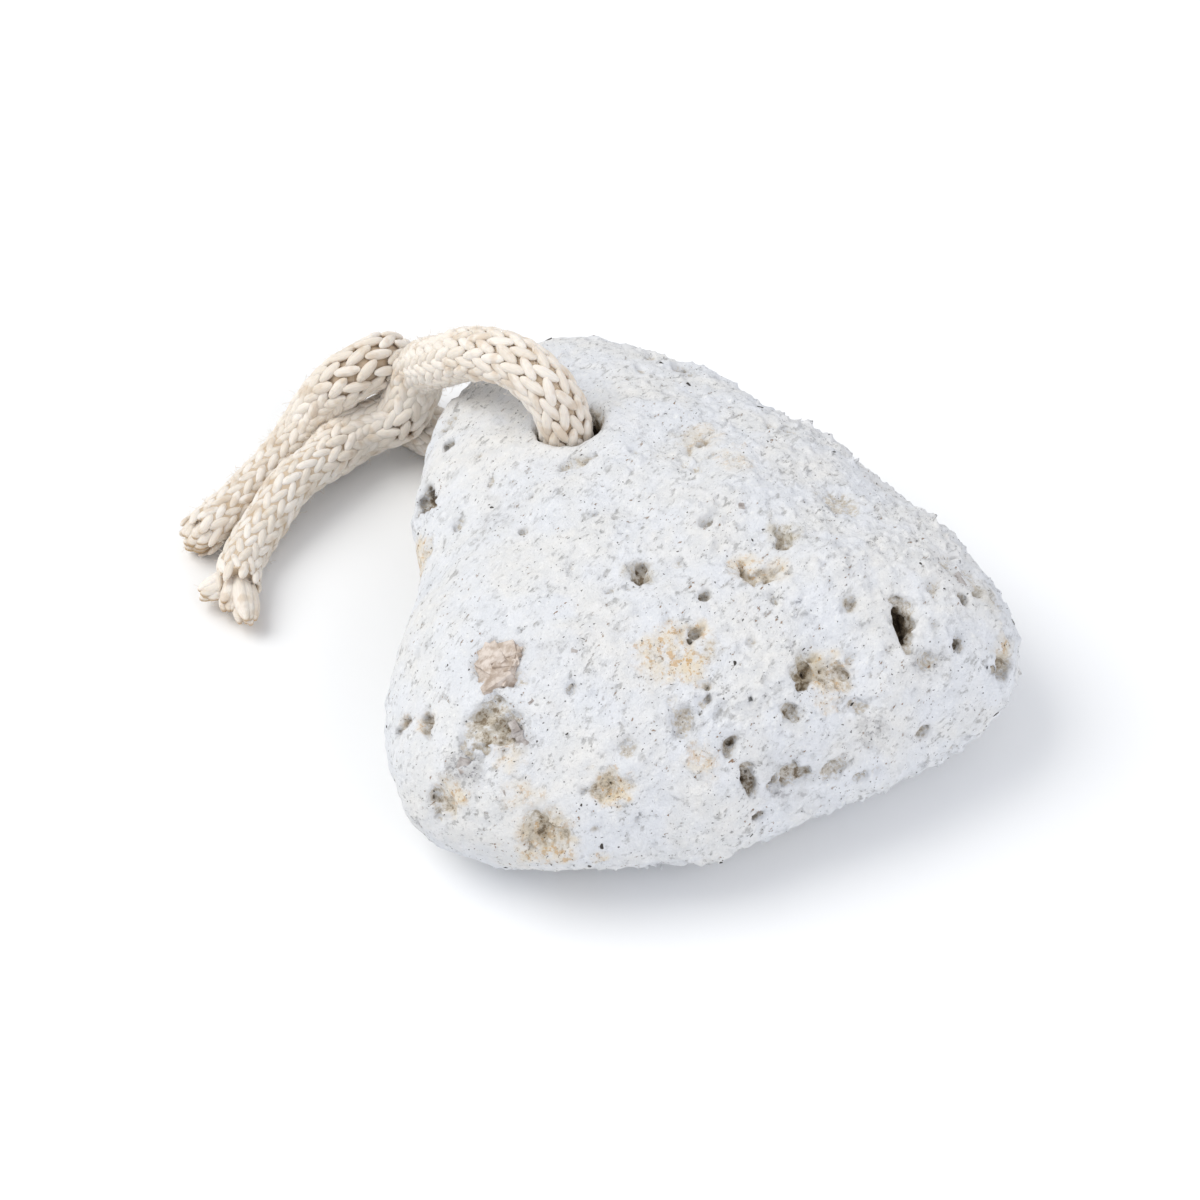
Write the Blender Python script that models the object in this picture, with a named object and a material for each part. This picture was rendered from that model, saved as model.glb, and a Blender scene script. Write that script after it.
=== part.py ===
"""A hand-sized pumice stone with a braided cotton rope through the hole in its narrow end.

The stone is one closed solid: a rounded, pitted pebble, flat where it rests.  The rope is one tube that runs
from one free end through the knot, over the narrow end, down the hole, back under the stone and through the
knot again to its other free end.  Lengths are in millimetres in the tables and functions below, and MM turns
them into metres.  The stone's length lies along Y, its narrow end is at +Y, and it rests on z = 0.
"""
import math

import bmesh
import bpy
import numpy as np
from mathutils import Matrix, Vector
from mathutils.bvhtree import BVHTree

MM = 0.001

# ---------------------------------------------------------------- the stone's form
# The outline's radii, at every 22.5 degrees from +X
OUTLINE_RADII = [34.5, 33, 33.5, 38.5, 40, 34.5, 29, 26, 30.5, 41.5, 44.5, 41, 40, 41, 46.5, 41]
CREST_WIDE, CREST_NARROW = 29.0, 24.0      # height of the top along the wide and the narrow end
WAIST_WIDE, WAIST_NARROW = 10.5, 15.5      # height at which the outline is widest
UNDER_WIDE, UNDER_NARROW = -1.2, 8.4       # underside, before it is cut flat at z = 0
CREST_FROM, CREST_TO = -35.0, 40.0         # the stretch of Y over which crest and waist change
UNDER_FROM, UNDER_TO = -8.0, 14.0          # the stretch of Y over which the underside rises
TOP_FULLNESS, TOP_SHOULDER = 2.3, 2.0
BASE_FULLNESS, BASE_SHOULDER = 3.0, 2.2
BLANK_SUBDIVISIONS = 5                     # icosphere levels of the blank: 5120 triangles

LUMP_COUNT = 12                            # slow waves that keep the surface from being a perfect oval
LUMP_HEIGHT = 0.13
LUMP_LENGTHS = (9.0, 24.0)
LUMP_SEED = 7

# Broad shallow dishes worn into the skin: centre x, y, z, radius, depth
DISHES = [
    (22.5, -10.5, 25.0, 7.0, 1.1),
    (-10.0, 22.0, 22.5, 6.0, 0.8),
    (-7.5, -25.0, 25.0, 5.0, 0.9),
    (2.0, -39.5, 15.0, 5.5, 1.3),
    (10.5, 6.0, 25.5, 4.0, 0.7),
    (-24.5, 4.0, 21.0, 6.0, 0.7),
    (30.0, 8.0, 17.0, 7.0, 1.0),
]

# Single pits: centre x, y, z, width, length, depth, and the direction of the length in degrees from +X.
# UPRIGHT stands for a pit whose length runs up the side of the stone.
UPRIGHT = None
PITS = [
    (20.6, -27.9, 22.7, 2.8, 6.6, 4.2, 80),
    (-3.5, -22.8, 26.0, 1.7, 3.2, 2.4, 15),
    (7.0, -30.8, 22.6, 2.8, 4.2, 2.2, 66),
    (10.4, -31.6, 21.6, 3.2, 4.6, 1.2, -24),
    (11.9, -14.0, 27.0, 1.9, 3.2, 1.8, 66),
    (-5.5, -12.0, 27.3, 2.2, 5.4, 2.2, 50),
    (5.9, -16.9, 26.9, 1.7, 4.6, 1.9, 100),
    (8.2, -18.0, 26.8, 2.0, 3.6, 1.4, 30),
    (-28.4, -23.2, 21.7, 5.0, 5.8, 1.7, 40),
    (-24.8, -17.5, 24.3, 5.2, 6.2, 0.9, 120),
    (-18.8, -33.6, 18.3, 3.4, 4.6, 1.1, -24),
    (-4.6, -35.3, 20.0, 1.9, 3.0, 2.2, 66),
    (-2.7, -38.8, 16.3, 2.0, 5.0, 2.6, UPRIGHT),
    (6.9, -39.1, 13.8, 2.2, 3.0, 2.2, 0),
    (-26.7, -33.8, 13.6, 4.4, 5.8, 1.3, UPRIGHT),
    (31.6, -32.2, 14.6, 2.6, 4.2, 2.2, UPRIGHT),
    (-3.8, 9.5, 25.5, 2.2, 4.4, 1.1, -10),
    (-35.5, -25.3, 14.7, 3.2, 4.4, 1.1, UPRIGHT),
    (-34.1, -17.2, 19.2, 1.8, 3.8, 2.0, 66),
    (-36.1, -14.4, 16.6, 1.8, 3.4, 2.0, UPRIGHT),
    (3.7, -34.1, 20.8, 2.0, 2.6, 2.0, -24),
    (-8.8, -31.4, 22.2, 2.6, 3.0, 1.2, 66),
    (26.8, -30.8, 19.3, 2.0, 2.6, 2.4, 66),
    (19.5, -37.0, 13.4, 1.8, 2.2, 2.0, 0),
    (32.9, -22.0, 19.8, 2.6, 2.8, 1.1, 66),
    (17.7, 24.3, 20.1, 2.2, 2.8, 1.2, -24),
    (4.8, -8.4, 27.3, 1.4, 2.2, 1.6, 10),
    (15.4, -24.9, 24.6, 1.8, 2.2, 1.4, 66),
    (-15.9, -31.6, 20.8, 2.4, 2.6, 1.1, 66),
    (11.6, -34.6, 19.1, 1.7, 4.2, 1.1, -24),
    (-2.3, -40.5, 11.3, 1.5, 2.4, 2.0, 0),
    (23.7, 7.8, 21.8, 1.8, 2.2, 1.2, 30),
]
SIDE_PITS = 18                             # further pits, scattered over the far sides and the underside
SIDE_PIT_SEED = 31
SIDE_PIT_WIDTHS = (1.8, 4.6)
SIDE_PIT_APART = 7.5
LISTED_SIDE_ABOVE, LISTED_SIDE_BELOW_Y = 17.0, 12.0   # the wide top, which has only the pits in the list
HOLE_CLEAR = 11.0                          # radius around the hole that stays unpitted
REST_CLEAR = 13.0                          # radius around the rest point that stays unpitted
REST_POINT = (0.0, -12.0)
PIT_ROUGHNESS = 0.16                       # how far a pit's wall strays from a plain bowl, as a share
LARGE_PIT = 5.0                            # a longer pit than this gets a finer bowl

# ---------------------------------------------------------------- the hole and the rope
HOLE_X, HOLE_Y = -1.6, 17.0
HOLE_SIDES = 20
# The drilled hole from below the stone to above it: height, radius
HOLE_PROFILE = [
    (3.0, 7.2), (8.0, 6.2), (10.0, 4.9), (12.5, 4.1),
    (20.5, 4.0), (24.0, 4.0), (25.0, 4.4), (29.0, 6.0),
]

ROPE_DIAMETER = 6.6
ROPE_POINTS = 80
ROPE_BEVEL = 2                             # gives a tube of eight sides
KNOT_SQUEEZE = 0.82                        # the knot and the tails are pressed thinner than the loop
PRESSED_FROM, PRESSED_FULLY = 26.0, 31.0   # distance from the hole's axis at which that starts and is reached
# The rope's centre line, stretch by stretch from the tip of the near tail to the tip of the back one
TAIL_NEAR = [
    (-41.8, 26.8, 3.0), (-40.6, 30.2, 3.0), (-38.3, 33.3, 3.1),
    (-34.4, 36.7, 3.9), (-30.3, 39.8, 5.2), (-23.4, 43.6, 5.0),
]
KNOT_UNDER = [
    (-19.3, 46.2, 4.5), (-15.8, 45.9, 5.6), (-13.2, 44.2, 7.6), (-11.5, 44.2, 10.7), (-10.4, 43.6, 14.7),
]
LOOP_ABOVE = [
    (-10.3, 36.5, 21.8), (-8.2, 28.8, 28.4), (-5.4, 23.4, 30.2),
    (-3.4, 19.3, 28.8), (-2.1, 17.0, 24.6),
]
THROUGH_HOLE = [(-1.8, 16.9, 18.5), (-1.6, 17.0, 12.6)]
LOOP_BELOW = [
    (-2.0, 18.4, 7.8), (-2.8, 22.3, 4.6), (-3.4, 28.0, 3.9),
    (-5.0, 34.5, 3.7), (-7.8, 41.5, 3.5),
]
KNOT_OVER = [
    (-10.4, 47.5, 3.2), (-10.5, 50.1, 5.2), (-11.0, 50.8, 9.1), (-12.8, 49.6, 12.6), (-15.3, 48.6, 13.3),
    (-18.3, 48.8, 12.1), (-20.6, 50.8, 8.3), (-23.0, 51.2, 4.9), (-26.1, 49.6, 3.4),
]
TAIL_BACK = [(-29.8, 46.7, 3.0), (-33.5, 44.1, 3.0), (-37.5, 41.4, 3.0), (-43.4, 38.0, 3.0)]


def clear_scene():
    """Remove every object, so that the file holds only this part."""
    for item in list(bpy.data.objects):
        bpy.data.objects.remove(item, do_unlink=True)


def make_material(name, colour, roughness):
    """A plain Principled material in one linear colour."""
    material = bpy.data.materials.new(name)
    material.use_nodes = True
    shader = material.node_tree.nodes["Principled BSDF"]
    shader.inputs["Base Color"].default_value = (*colour, 1.0)
    shader.inputs["Roughness"].default_value = roughness
    shader.inputs["Metallic"].default_value = 0.0
    return material


def add_object(name, mesh_builder, material=None):
    """Turn a bmesh in millimetres into a named object in metres, and free the bmesh."""
    mesh = bpy.data.meshes.new(name)
    bmesh.ops.scale(mesh_builder, vec=(MM, MM, MM), verts=mesh_builder.verts)
    mesh_builder.to_mesh(mesh)
    mesh_builder.free()
    item = bpy.data.objects.new(name, mesh)
    bpy.context.scene.collection.objects.link(item)
    if material:
        mesh.materials.append(material)
    return item


def ease(value, start, end):
    """0 before start, 1 after end, and a smooth step between."""
    t = np.clip((value - start) / (end - start), 0.0, 1.0)
    return t * t * (3.0 - 2.0 * t)


def outline_radius(angle):
    """The outline's radius at an angle: the sum of cosines that runs through OUTLINE_RADII."""
    count = len(OUTLINE_RADII)
    waves = np.fft.rfft(OUTLINE_RADII) / count
    radius = waves[0].real
    for k in range(1, count // 2 + 1):
        weight = 1.0 if 2 * k == count else 2.0
        radius += weight * (waves[k].real * math.cos(k * angle) - waves[k].imag * math.sin(k * angle))
    return radius


def blank_point(direction):
    """Where a point of the unit sphere goes on the smooth stone, before it is cut flat below."""
    angle = math.atan2(direction.y, direction.x)
    reach = min(1.0, math.hypot(direction.x, direction.y))
    radius = outline_radius(angle)
    x = radius * reach * math.cos(angle)
    y = radius * reach * math.sin(angle)
    along = ease(y, CREST_FROM, CREST_TO)
    crest = CREST_WIDE + (CREST_NARROW - CREST_WIDE) * along
    waist = WAIST_WIDE + (WAIST_NARROW - WAIST_WIDE) * along
    under = UNDER_WIDE + (UNDER_NARROW - UNDER_WIDE) * ease(y, UNDER_FROM, UNDER_TO)
    if direction.z >= 0.0:
        z = waist + (crest - waist) * (1.0 - reach ** TOP_FULLNESS) ** (1.0 / TOP_SHOULDER)
    else:
        z = waist - (waist - under) * (1.0 - reach ** BASE_FULLNESS) ** (1.0 / BASE_SHOULDER)
    return Vector((x, y, z))


def lump_waves():
    """The slow waves: a vector for each, whose length sets its wavelength, and a phase."""
    rng = np.random.default_rng(LUMP_SEED)
    directions = rng.normal(size=(LUMP_COUNT, 3))
    directions /= np.linalg.norm(directions, axis=1)[:, None]
    lengths = rng.uniform(*LUMP_LENGTHS, size=LUMP_COUNT)
    phases = rng.uniform(0.0, 2.0 * math.pi, size=LUMP_COUNT)
    return directions * (2.0 * math.pi / lengths)[:, None], phases


def relief(point, waves):
    """How far the skin stands out at a point: lumps less dishes."""
    vectors, phases = waves
    height = LUMP_HEIGHT * float(np.sin(vectors @ np.array(point) + phases).sum())
    for x, y, z, radius, depth in DISHES:
        away = (point - Vector((x, y, z))).length / radius
        height -= depth * math.exp(-away * away)
    return height


def stone_blank():
    """The smooth stone with its lumps and dishes, cut flat at z = 0."""
    blank = bmesh.new()
    bmesh.ops.create_icosphere(blank, subdivisions=BLANK_SUBDIVISIONS, radius=1.0)
    for vert in blank.verts:
        vert.co = blank_point(vert.co)
    blank.normal_update()
    waves = lump_waves()
    moves = [vert.normal * relief(vert.co, waves) for vert in blank.verts]
    for vert, move in zip(blank.verts, moves):
        vert.co += move
    everything = blank.verts[:] + blank.edges[:] + blank.faces[:]
    cut = bmesh.ops.bisect_plane(
        blank, geom=everything, plane_co=(0, 0, 0), plane_no=(0, 0, -1), clear_outer=True
    )
    rim = [part for part in cut["geom_cut"] if isinstance(part, bmesh.types.BMEdge)]
    bmesh.ops.edgeloop_fill(blank, edges=rim)
    bmesh.ops.dissolve_degenerate(blank, dist=0.02, edges=blank.edges)
    bmesh.ops.triangulate(blank, faces=blank.faces)
    bmesh.ops.recalc_face_normals(blank, faces=blank.faces)
    return blank


def scattered_pits():
    """Pits over the parts that the list above leaves bare, at a spacing that keeps them apart."""
    rng = np.random.default_rng(SIDE_PIT_SEED)
    taken = [Vector(pit[:3]) for pit in PITS]
    hole = Vector((HOLE_X, HOLE_Y))
    found = []
    while len(found) < SIDE_PITS:
        direction = Vector(rng.normal(size=3)).normalized()
        width = float(rng.uniform(*SIDE_PIT_WIDTHS))
        longer = float(rng.uniform(1.0, 1.7))
        deeper = float(rng.uniform(0.45, 0.9))
        turn = float(rng.uniform(0.0, 180.0))
        place = blank_point(direction)
        listed = place.z > LISTED_SIDE_ABOVE and place.y < LISTED_SIDE_BELOW_Y
        rest = (place.xy - Vector(REST_POINT)).length < REST_CLEAR and place.z < 1.0
        near_hole = (place.xy - hole).length < HOLE_CLEAR
        crowded = any((place - other).length < SIDE_PIT_APART for other in taken)
        if listed or rest or near_hole or crowded:
            continue
        taken.append(place)
        found.append((*place, width, width * longer, width * deeper, turn))
    return found


def pit_cutter(skin, pit, rng):
    """One rough bowl, its length and width along the skin and its depth into it."""
    x, y, z, width, length, depth, turn = pit
    place, normal = skin.find_nearest(Vector((x, y, z)))[:2]
    if turn is UPRIGHT:
        along = Vector((0.0, 0.0, 1.0))
    else:
        along = Vector((math.cos(math.radians(turn)), math.sin(math.radians(turn)), 0.0))
    along = (along - normal * along.dot(normal)).normalized()
    across = normal.cross(along)
    turned = Matrix((along, across, normal)).transposed()
    bowl = bmesh.new()
    bmesh.ops.create_icosphere(bowl, subdivisions=2 if length > LARGE_PIT else 1, radius=1.0)
    for vert in bowl.verts:
        swell = 1.0 + PIT_ROUGHNESS * float(rng.normal())
        size = Vector((vert.co.x * length / 2.0, vert.co.y * width / 2.0, vert.co.z * depth))
        vert.co = place + turned @ (size * swell)
    return bowl


def pit_cutters(skin):
    """All pits' bowls in one mesh."""
    rng = np.random.default_rng(SIDE_PIT_SEED + 1)
    together = bmesh.new()
    for pit in PITS + scattered_pits():
        bowl = pit_cutter(skin, pit, rng)
        piece = bpy.data.meshes.new("bowl")
        bowl.to_mesh(piece)
        bowl.free()
        together.from_mesh(piece)
        bpy.data.meshes.remove(piece)
    bmesh.ops.recalc_face_normals(together, faces=together.faces)
    return together


def hole_cutter():
    """The drilled hole with its worn, flared mouths: HOLE_PROFILE turned about a vertical axis."""
    turned = bmesh.new()
    rings = []
    for z, radius in HOLE_PROFILE:
        ring = []
        for step in range(HOLE_SIDES):
            angle = 2.0 * math.pi * step / HOLE_SIDES
            place = (HOLE_X + radius * math.cos(angle), HOLE_Y + radius * math.sin(angle), z)
            ring.append(turned.verts.new(place))
        rings.append(ring)
    for lower, upper in zip(rings, rings[1:]):
        for step in range(HOLE_SIDES):
            after = (step + 1) % HOLE_SIDES
            turned.faces.new((lower[step], lower[after], upper[after], upper[step]))
    turned.faces.new(rings[0][::-1])
    turned.faces.new(rings[-1])
    return turned


def subtract(target, cutter):
    """Cut one object from another with a live Boolean, and keep the cutter out of the part."""
    cutter.hide_render = True
    cutter.display_type = "WIRE"
    boolean = target.modifiers.new(cutter.name, "BOOLEAN")
    boolean.operation = "DIFFERENCE"
    boolean.solver = "EXACT"
    boolean.use_self = True
    boolean.object = cutter


def make_stone():
    """The pumice stone: blank, less pits, less the hole."""
    blank = stone_blank()
    skin = BVHTree.FromBMesh(blank)
    pumice = make_material("pumice", (0.72, 0.75, 0.79), 0.95)
    stone = add_object("pumice_stone", blank, pumice)
    subtract(stone, add_object("pit_bowls", pit_cutters(skin)))
    subtract(stone, add_object("hole_core", hole_cutter()))
    return stone


def smooth_curve(points, count):
    """Points at even steps along the centripetal Catmull-Rom curve through the given points."""
    ends = [2.0 * points[0] - points[1], 2.0 * points[-1] - points[-2]]
    guides = np.array([ends[0], *points, ends[1]])
    fine = []
    for before, start, end, after in zip(guides, guides[1:], guides[2:], guides[3:]):
        t1 = np.linalg.norm(start - before) ** 0.5
        t2 = t1 + np.linalg.norm(end - start) ** 0.5
        t3 = t2 + np.linalg.norm(after - end) ** 0.5
        t = np.linspace(t1, t2, 24, endpoint=False)[:, None]
        lead = (t1 - t) / t1 * before + t / t1 * start
        middle = (t2 - t) / (t2 - t1) * start + (t - t1) / (t2 - t1) * end
        trail = (t3 - t) / (t3 - t2) * end + (t - t2) / (t3 - t2) * after
        first = (t2 - t) / t2 * lead + t / t2 * middle
        second = (t3 - t) / (t3 - t1) * middle + (t - t1) / (t3 - t1) * trail
        fine.append((t2 - t) / (t2 - t1) * first + (t - t1) / (t2 - t1) * second)
    fine = np.vstack(fine + [guides[-2][None]])
    lengths = np.concatenate([[0.0], np.cumsum(np.linalg.norm(np.diff(fine, axis=0), axis=1))])
    wanted = np.linspace(0.0, lengths[-1], count)
    return np.stack([np.interp(wanted, lengths, fine[:, axis]) for axis in range(3)], axis=1)


def rope_route():
    """Points at even steps along the rope's centre line, from the near free end to the back one."""
    stretches = [TAIL_NEAR, KNOT_UNDER, LOOP_ABOVE, THROUGH_HOLE, LOOP_BELOW, KNOT_OVER, TAIL_BACK]
    return smooth_curve(np.vstack([np.array(stretch, float) for stretch in stretches]), ROPE_POINTS)


def make_rope():
    """The rope: a plain round tube along the route, thinner in the knot and the tails."""
    curve = bpy.data.curves.new("rope", "CURVE")
    curve.dimensions = "3D"
    curve.bevel_depth = ROPE_DIAMETER / 2.0 * MM
    curve.bevel_resolution = ROPE_BEVEL
    curve.use_fill_caps = True
    line = curve.splines.new("POLY")
    line.points.add(ROPE_POINTS - 1)
    for point, place in zip(line.points, rope_route()):
        point.co = (*(place * MM), 1.0)
        away = math.hypot(place[0] - HOLE_X, place[1] - HOLE_Y)
        point.radius = 1.0 - (1.0 - KNOT_SQUEEZE) * float(ease(away, PRESSED_FROM, PRESSED_FULLY))
    curve.materials.append(make_material("cotton", (0.72, 0.62, 0.47), 0.9))
    item = bpy.data.objects.new("rope", curve)
    bpy.context.scene.collection.objects.link(item)
    return item


clear_scene()
make_stone()
make_rope()
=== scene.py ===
# %% [markdown]
# # A pumice stone on a cotton rope
# Pumice is volcanic glass that froze while it was full of gas, so the stone is a light foam: pale, dusty,
# pitted, with a few darker crystals caught in it. A drilled hole carries a short length of braided cotton.
# The lesson builds the two things that are really there, the rope and the stone, around a measured frame.
# The frame holds the plain solids; each piece below takes the place of one of them, with its real look.

# %% Load the frame
import math
from functools import partial

import bmesh
import bpy
import numpy as np
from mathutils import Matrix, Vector


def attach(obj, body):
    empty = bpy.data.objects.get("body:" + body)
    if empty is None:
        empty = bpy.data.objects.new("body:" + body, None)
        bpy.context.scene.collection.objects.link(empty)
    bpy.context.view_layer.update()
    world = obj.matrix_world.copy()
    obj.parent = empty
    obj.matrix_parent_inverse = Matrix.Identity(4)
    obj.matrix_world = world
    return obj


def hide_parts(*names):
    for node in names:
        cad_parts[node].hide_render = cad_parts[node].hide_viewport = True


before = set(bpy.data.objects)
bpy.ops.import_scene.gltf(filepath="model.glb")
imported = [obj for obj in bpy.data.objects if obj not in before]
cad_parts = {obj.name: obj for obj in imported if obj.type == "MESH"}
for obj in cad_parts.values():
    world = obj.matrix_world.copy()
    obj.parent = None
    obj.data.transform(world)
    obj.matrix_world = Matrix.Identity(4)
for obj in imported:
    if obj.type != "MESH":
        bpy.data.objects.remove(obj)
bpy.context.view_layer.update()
print("solids:", sorted(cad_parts))

# %% [markdown]
# ## Small helpers
# Everything here is measured in millimetres and turned into metres at the last moment. Colours are written as
# the hex values a paint chart would give, and one function turns them into the linear values that Blender
# mixes light with. One function adds a node to any tree, for a material or for geometry, so that each tree
# below reads as a list of what it does.

# %% Units, colours and nodes
MM = 0.001


def linear(hex_colour):
    """A hex sRGB colour as the linear RGBA tuple a shader wants."""
    channels = [int(hex_colour[k:k + 2], 16) / 255.0 for k in (1, 3, 5)]
    return (*(c / 12.92 if c <= 0.04045 else ((c + 0.055) / 1.055) ** 2.4 for c in channels), 1.0)


def per_mm(size):
    """The scale of a texture, on coordinates in metres, whose features are that many millimetres wide."""
    return 1.0 / (size * MM)


def socket(sockets, name):
    """The socket in use that has this name: some nodes keep one of the same name for each type of data."""
    return next(item for item in sockets if item.enabled and item.name == name)


def plug(node, inputs):
    """Set a node's sockets, by name or in order, to values, hex colours or other nodes' outputs."""
    for key, value in inputs.items() if isinstance(inputs, dict) else enumerate(inputs):
        target = node.inputs[key] if isinstance(key, int) else socket(node.inputs, key)
        if isinstance(value, bpy.types.NodeSocket):
            node.id_data.links.new(value, target)
        else:
            target.default_value = linear(value) if str(value).startswith("#") else value


def add_node(tree, kind, inputs=(), give=None, **settings):
    """Add a node with its settings and inputs, and return the output that give names, or its first in use."""
    node = tree.nodes.new(kind)
    for name, value in settings.items():
        setattr(node, name, value)
    plug(node, inputs)
    return socket(node.outputs, give) if give else next(item for item in node.outputs if item.enabled)


def new_material(name):
    """A Principled material: itself, add_node for its tree, and its shader node."""
    material = bpy.data.materials.new(name)
    material.use_nodes = True
    return material, partial(add_node, material.node_tree), material.node_tree.nodes["Principled BSDF"]


# %% Objects and meshes
def add_object(name, data, material=None):
    """An object at the origin that shows a mesh, or holds a camera or a lamp."""
    if material:
        data.materials.clear()
        data.materials.append(material)
    item = bpy.data.objects.new(name, data)
    bpy.context.scene.collection.objects.link(item)
    return item


def mesh_from(name, points, faces=(), edges=()):
    """A smooth-shaded mesh from points in millimetres."""
    mesh = bpy.data.meshes.new(name)
    mesh.from_pydata((np.asarray(points, float) * MM).tolist(), list(edges), list(faces))
    mesh.update()
    mesh.shade_smooth()
    return mesh


def store(mesh, name, values, kind="FLOAT"):
    """Keep a number, or a vector, for each point of a mesh, for its material or node tree to read."""
    data = mesh.attributes.new(name, kind, "POINT").data
    data.foreach_set("value" if kind == "FLOAT" else "vector", np.array(values, np.float32).ravel())


def join(name, meshes, material):
    """One object from several meshes."""
    parts = [add_object(name, mesh, material) for mesh in meshes]
    with bpy.context.temp_override(active_object=parts[0], selected_editable_objects=parts):
        bpy.ops.object.join()
    return parts[0]


def ease(value, start, end):
    """0 before start, 1 after end, and a smooth step between."""
    t = np.clip((value - start) / (end - start), 0.0, 1.0)
    return t * t * (3.0 - 2.0 * t)


# %% Geometry trees
def new_tree(name, inputs):
    """A geometry tree with named inputs at their usual values: itself, add_node for it, and those inputs."""
    tree = bpy.data.node_groups.new(name, "GeometryNodeTree")
    for way in ("INPUT", "OUTPUT"):
        tree.interface.new_socket("Geometry", in_out=way, socket_type="NodeSocketGeometry")
    for label, value in inputs.items():
        kind = {float: "Float", int: "Int"}.get(type(value), "Material")
        item = tree.interface.new_socket(label, in_out="INPUT", socket_type="NodeSocket" + kind)
        if value is not None:
            item.default_value = value
    return tree, partial(add_node, tree), tree.nodes.new("NodeGroupInput").outputs


def finish_tree(tree, geometry, material):
    """The end of each tree: instances made real, a material, and the output."""
    real = add_node(tree, "GeometryNodeRealizeInstances", {"Geometry": geometry})
    painted = add_node(tree, "GeometryNodeSetMaterial", {"Geometry": real, "Material": material})
    plug(tree.nodes.new("NodeGroupOutput"), {"Geometry": painted})
    print(tree.name, "has", len(tree.nodes), "nodes")


def grow(tree, source, settings):
    """Run a tree on a mesh with its inputs set by name, and give back the result as a plain mesh."""
    carrier = add_object("carrier", source)
    modifier = carrier.modifiers.new(tree.name, "NODES")
    modifier.node_group = tree
    for item in tree.interface.items_tree:
        if item.in_out == "INPUT" and item.name in settings:
            modifier[item.identifier] = settings[item.name]
    evaluated = carrier.evaluated_get(bpy.context.evaluated_depsgraph_get())
    grown = bpy.data.meshes.new_from_object(evaluated)
    bpy.data.objects.remove(carrier)
    return grown


# %% [markdown]
# ## Camera, light and floor
# The stone is looked down on at 45 degrees from its wide end, a little from the left, through a long lens, so
# it shows its top and only a thin band of its side. Bright, soft light suits a white, dusty thing: one large
# lamp from the upper left gives the pits their shaded side, a second fills the front, and a pale sky does the
# rest.

# %% Camera
CAMERA_TARGET = Vector((-5.33, -0.85, 12.0)) * MM
CAMERA_TURN = math.radians(24.0)
CAMERA_DOWN = math.radians(45.0)
CAMERA_AWAY = 420.0 * MM
FRAME_WIDTH = 143.5 * MM                       # what the frame takes in at the target
SENSOR = 36.0
NEAREST = 10.0 * MM


def aim(item, place, towards):
    """Put a camera or a lamp at a place, and turn it the way it is to look."""
    item.location = place
    item.rotation_euler = towards.to_track_quat("-Z", "Y").to_euler()


look = Vector((
    math.sin(CAMERA_TURN) * math.cos(CAMERA_DOWN),
    math.cos(CAMERA_TURN) * math.cos(CAMERA_DOWN),
    -math.sin(CAMERA_DOWN),
))
camera_data = bpy.data.cameras.new("camera")
camera_data.sensor_width = SENSOR
camera_data.sensor_fit = "HORIZONTAL"
camera_data.lens = SENSOR * CAMERA_AWAY / FRAME_WIDTH
camera_data.clip_start = NEAREST
bpy.context.scene.camera = add_object("camera", camera_data)
aim(bpy.context.scene.camera, CAMERA_TARGET - look * CAMERA_AWAY, look)
print("lens:", round(camera_data.lens, 1), "mm")

# %% Light and floor
LAMPS = {
    # name: place in metres, size in metres, watts, colour
    "key": ((-0.50, 0.30, 0.75), 0.75, 5.9, "#FFFDF8"),
    "fill": ((0.35, -0.75, 0.55), 0.8, 3.4, "#FBFBFF"),
}
LAMPS_AIM = Vector((0.0, 0.0, 10.0)) * MM
SKY_COLOUR, SKY_STRENGTH = "#F8FAFF", 0.64
FLOOR_HALF = 1500.0
FLOOR_Z = -0.05                                # just under the stone, so that their faces don't coincide

for name, (place, size, watts, colour) in LAMPS.items():
    lamp_data = bpy.data.lights.new(name, "AREA")
    lamp_data.size = size
    lamp_data.energy = watts
    lamp_data.color = linear(colour)[:3]
    aim(add_object(name, lamp_data), place, LAMPS_AIM - Vector(place))

world = bpy.data.worlds.new("soft sky")
world.use_nodes = True
plug(world.node_tree.nodes["Background"], {"Color": SKY_COLOUR, "Strength": SKY_STRENGTH})
bpy.context.scene.world = world
bpy.context.scene.view_settings.view_transform = "Standard"
bpy.context.scene.view_settings.look = "None"

paper, _, shader = new_material("matt white paper sweep")
plug(shader, {"Base Color": "#F6F7F8", "Roughness": 0.9, "Specular IOR Level": 0.2})
corners = [(x * FLOOR_HALF, y * FLOOR_HALF, FLOOR_Z) for x, y in ((-1, -1), (1, -1), (1, 1), (-1, 1))]
floor = add_object("floor", mesh_from("floor", corners, [(0, 1, 2, 3)]), paper)
print("floor and", len(LAMPS), "lamps")
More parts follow.
